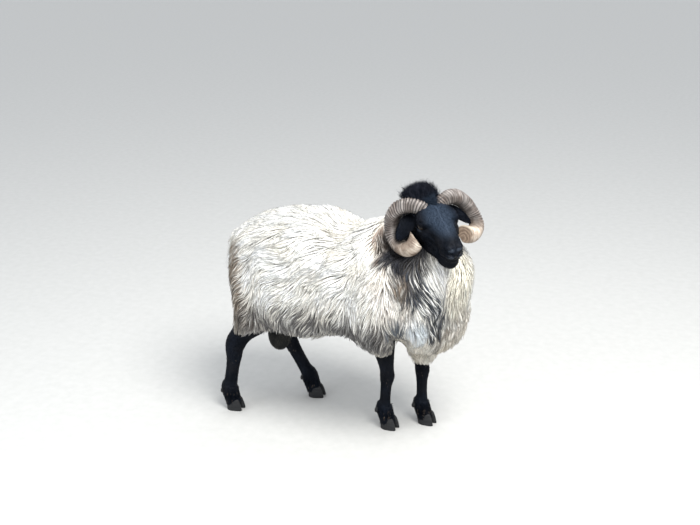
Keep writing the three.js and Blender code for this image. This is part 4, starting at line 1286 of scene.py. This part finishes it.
def claw_mesh(outward_side, hoof):
    """One claw of a hoof on the floor, standing to the side given, 1 for its left or -1."""
    x0, y0, toe = hoof
    rings, sides = 22, 44
    u = np.linspace(0, 1, rings)[:, None]
    sole, top = smooth(u / 0.07), smooth((u - 0.86) / 0.14)
    levels = (0, 0.45, 1.0)
    z = u * 0.93
    reach, back, wide = (np.interp(z, levels, v) for v in ([1, 0.84, 0.56], [1, 1.02, 1.0], [1, 0.97, 0.86]))
    tuck = (0.93 + 0.07 * sole) * (1 - 0.10 * top)
    a = circle(sides, 0.5)
    toe_reach, heel_reach = CLAW["length"] * TOE, CLAW["length"] * HEEL
    x = np.where(np.cos(a) > 0, np.cos(a) * toe_reach * reach, np.cos(a) * heel_reach * back) * tuck
    taper = 1 - 0.35 * np.maximum(x / toe_reach, 0)
    around = np.sign(np.sin(a)) * np.abs(np.sin(a)) ** 0.8
    y = CLAW["width"] / 2 * (1 + around * tuck) * wide * taper + CLAW["split"] / 2
    height = z * CLAW["height"] * (1 + 0.16 * x / toe_reach) + 0 * a
    c, s = cosd(outward_side * CLAW["spread"] + toe), sind(outward_side * CLAW["spread"] + toe)
    y = y * outward_side
    p = np.stack([x * c - y * s + x0, x * s + y * c + y0, height], axis=2).reshape(-1, 3)
    return p, *tube_faces(rings, sides)


def dewclaw_mesh(outward_side, fetlock):
    """A small knob behind the fetlock, hooked back at its lower end."""
    x, y, z = fetlock
    rings, sides = 14, 20
    knob = globe(rings, sides, 0.02)
    hook = (1 - knob[:, 2:]) * [3, 0, 0]
    place = [x - 18, y + outward_side * 12, z - 8]
    return knob * [8, 7.5, 12] - hook + place, *tube_faces(rings, sides)


claw_look = claw_material()
for leg, hoof in HOOVES.items():
    ways = {1: "outer", -1: "inner"} if hoof[1] > 0 else {1: "inner", -1: "outer"}
    for way, which in ways.items():
        made = solid(f"{leg}_claw_{which}_fine", claw_mesh(way, hoof), claw_look)
        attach(made, "root")
        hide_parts(f"{leg}_claw_{which}")
        made = solid(f"{leg}_dewclaw_{which}_fine", dewclaw_mesh(way, SHINS[leg][1][1][:3]), claw_look)
        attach(made, "root")
        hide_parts(f"{leg}_dewclaw_{which}")


# ------------------------------------------------------------------ floor, light and camera
def stage_floor():
    n = Nodes("floor")
    spots = n.noise(n.make("NewGeometry").outputs["Position"], 30.0, 4.0)
    color = n.ramp(spots, (0.3, (0.43, 0.43, 0.42)), (0.7, (0.46, 0.46, 0.45)))
    look = n.finish(Base_Color=color, Roughness=0.9)
    bpy.ops.mesh.primitive_plane_add(size=120)
    floor = bpy.context.object
    floor.name = "floor"
    floor.data.materials.append(look)


def area_light(name, place, size, power, color, aim=(0, 0, 0.5)):
    light = bpy.data.lights.new(name, "AREA")
    light.shape, light.size, light.energy, light.color = "DISK", size, power, color
    made = bpy.data.objects.new(name, light)
    made.location = place
    made.rotation_euler = (Vector(aim) - Vector(place)).to_track_quat("-Z", "Y").to_euler()
    bpy.context.scene.collection.objects.link(made)


stage_floor()
area_light("key", (1.5, -1.2, 3.4), size=2.0, power=220, color=(1.0, 0.985, 0.95))
area_light("fill", (-2.4, -2.6, 1.9), size=2.4, power=45, color=(0.93, 0.97, 1.0))
world = bpy.data.worlds.new("studio")
world.use_nodes = True
background = world.node_tree.nodes["Background"]
background.inputs["Color"].default_value = (0.93, 0.96, 1.0, 1)
background.inputs["Strength"].default_value = 1.2
bpy.context.scene.world = world
bpy.context.scene.view_settings.view_transform = "Standard"

camera = bpy.data.objects.new("camera", bpy.data.cameras.new("camera"))
bpy.context.scene.collection.objects.link(camera)
heading, dip = 20, 20  # degrees that the photo's camera looks to the left of +y, and down
sensor, focal_pixels, photo_pixels = 36, 1000, 700
ahead = Vector((-sind(heading) * cosd(dip), cosd(heading) * cosd(dip), -sind(dip)))
right = Vector((cosd(heading), sind(heading), 0))
place = Vector((1.1365, -2.8587, 1.66)) + Vector(SHIFT) / 1000
camera.matrix_world = Matrix.Translation(place) @ Matrix(
    (right, right.cross(ahead), -ahead)).transposed().to_4x4()
camera.data.sensor_width, camera.data.lens = sensor, sensor * focal_pixels / photo_pixels
bpy.context.scene.camera = camera
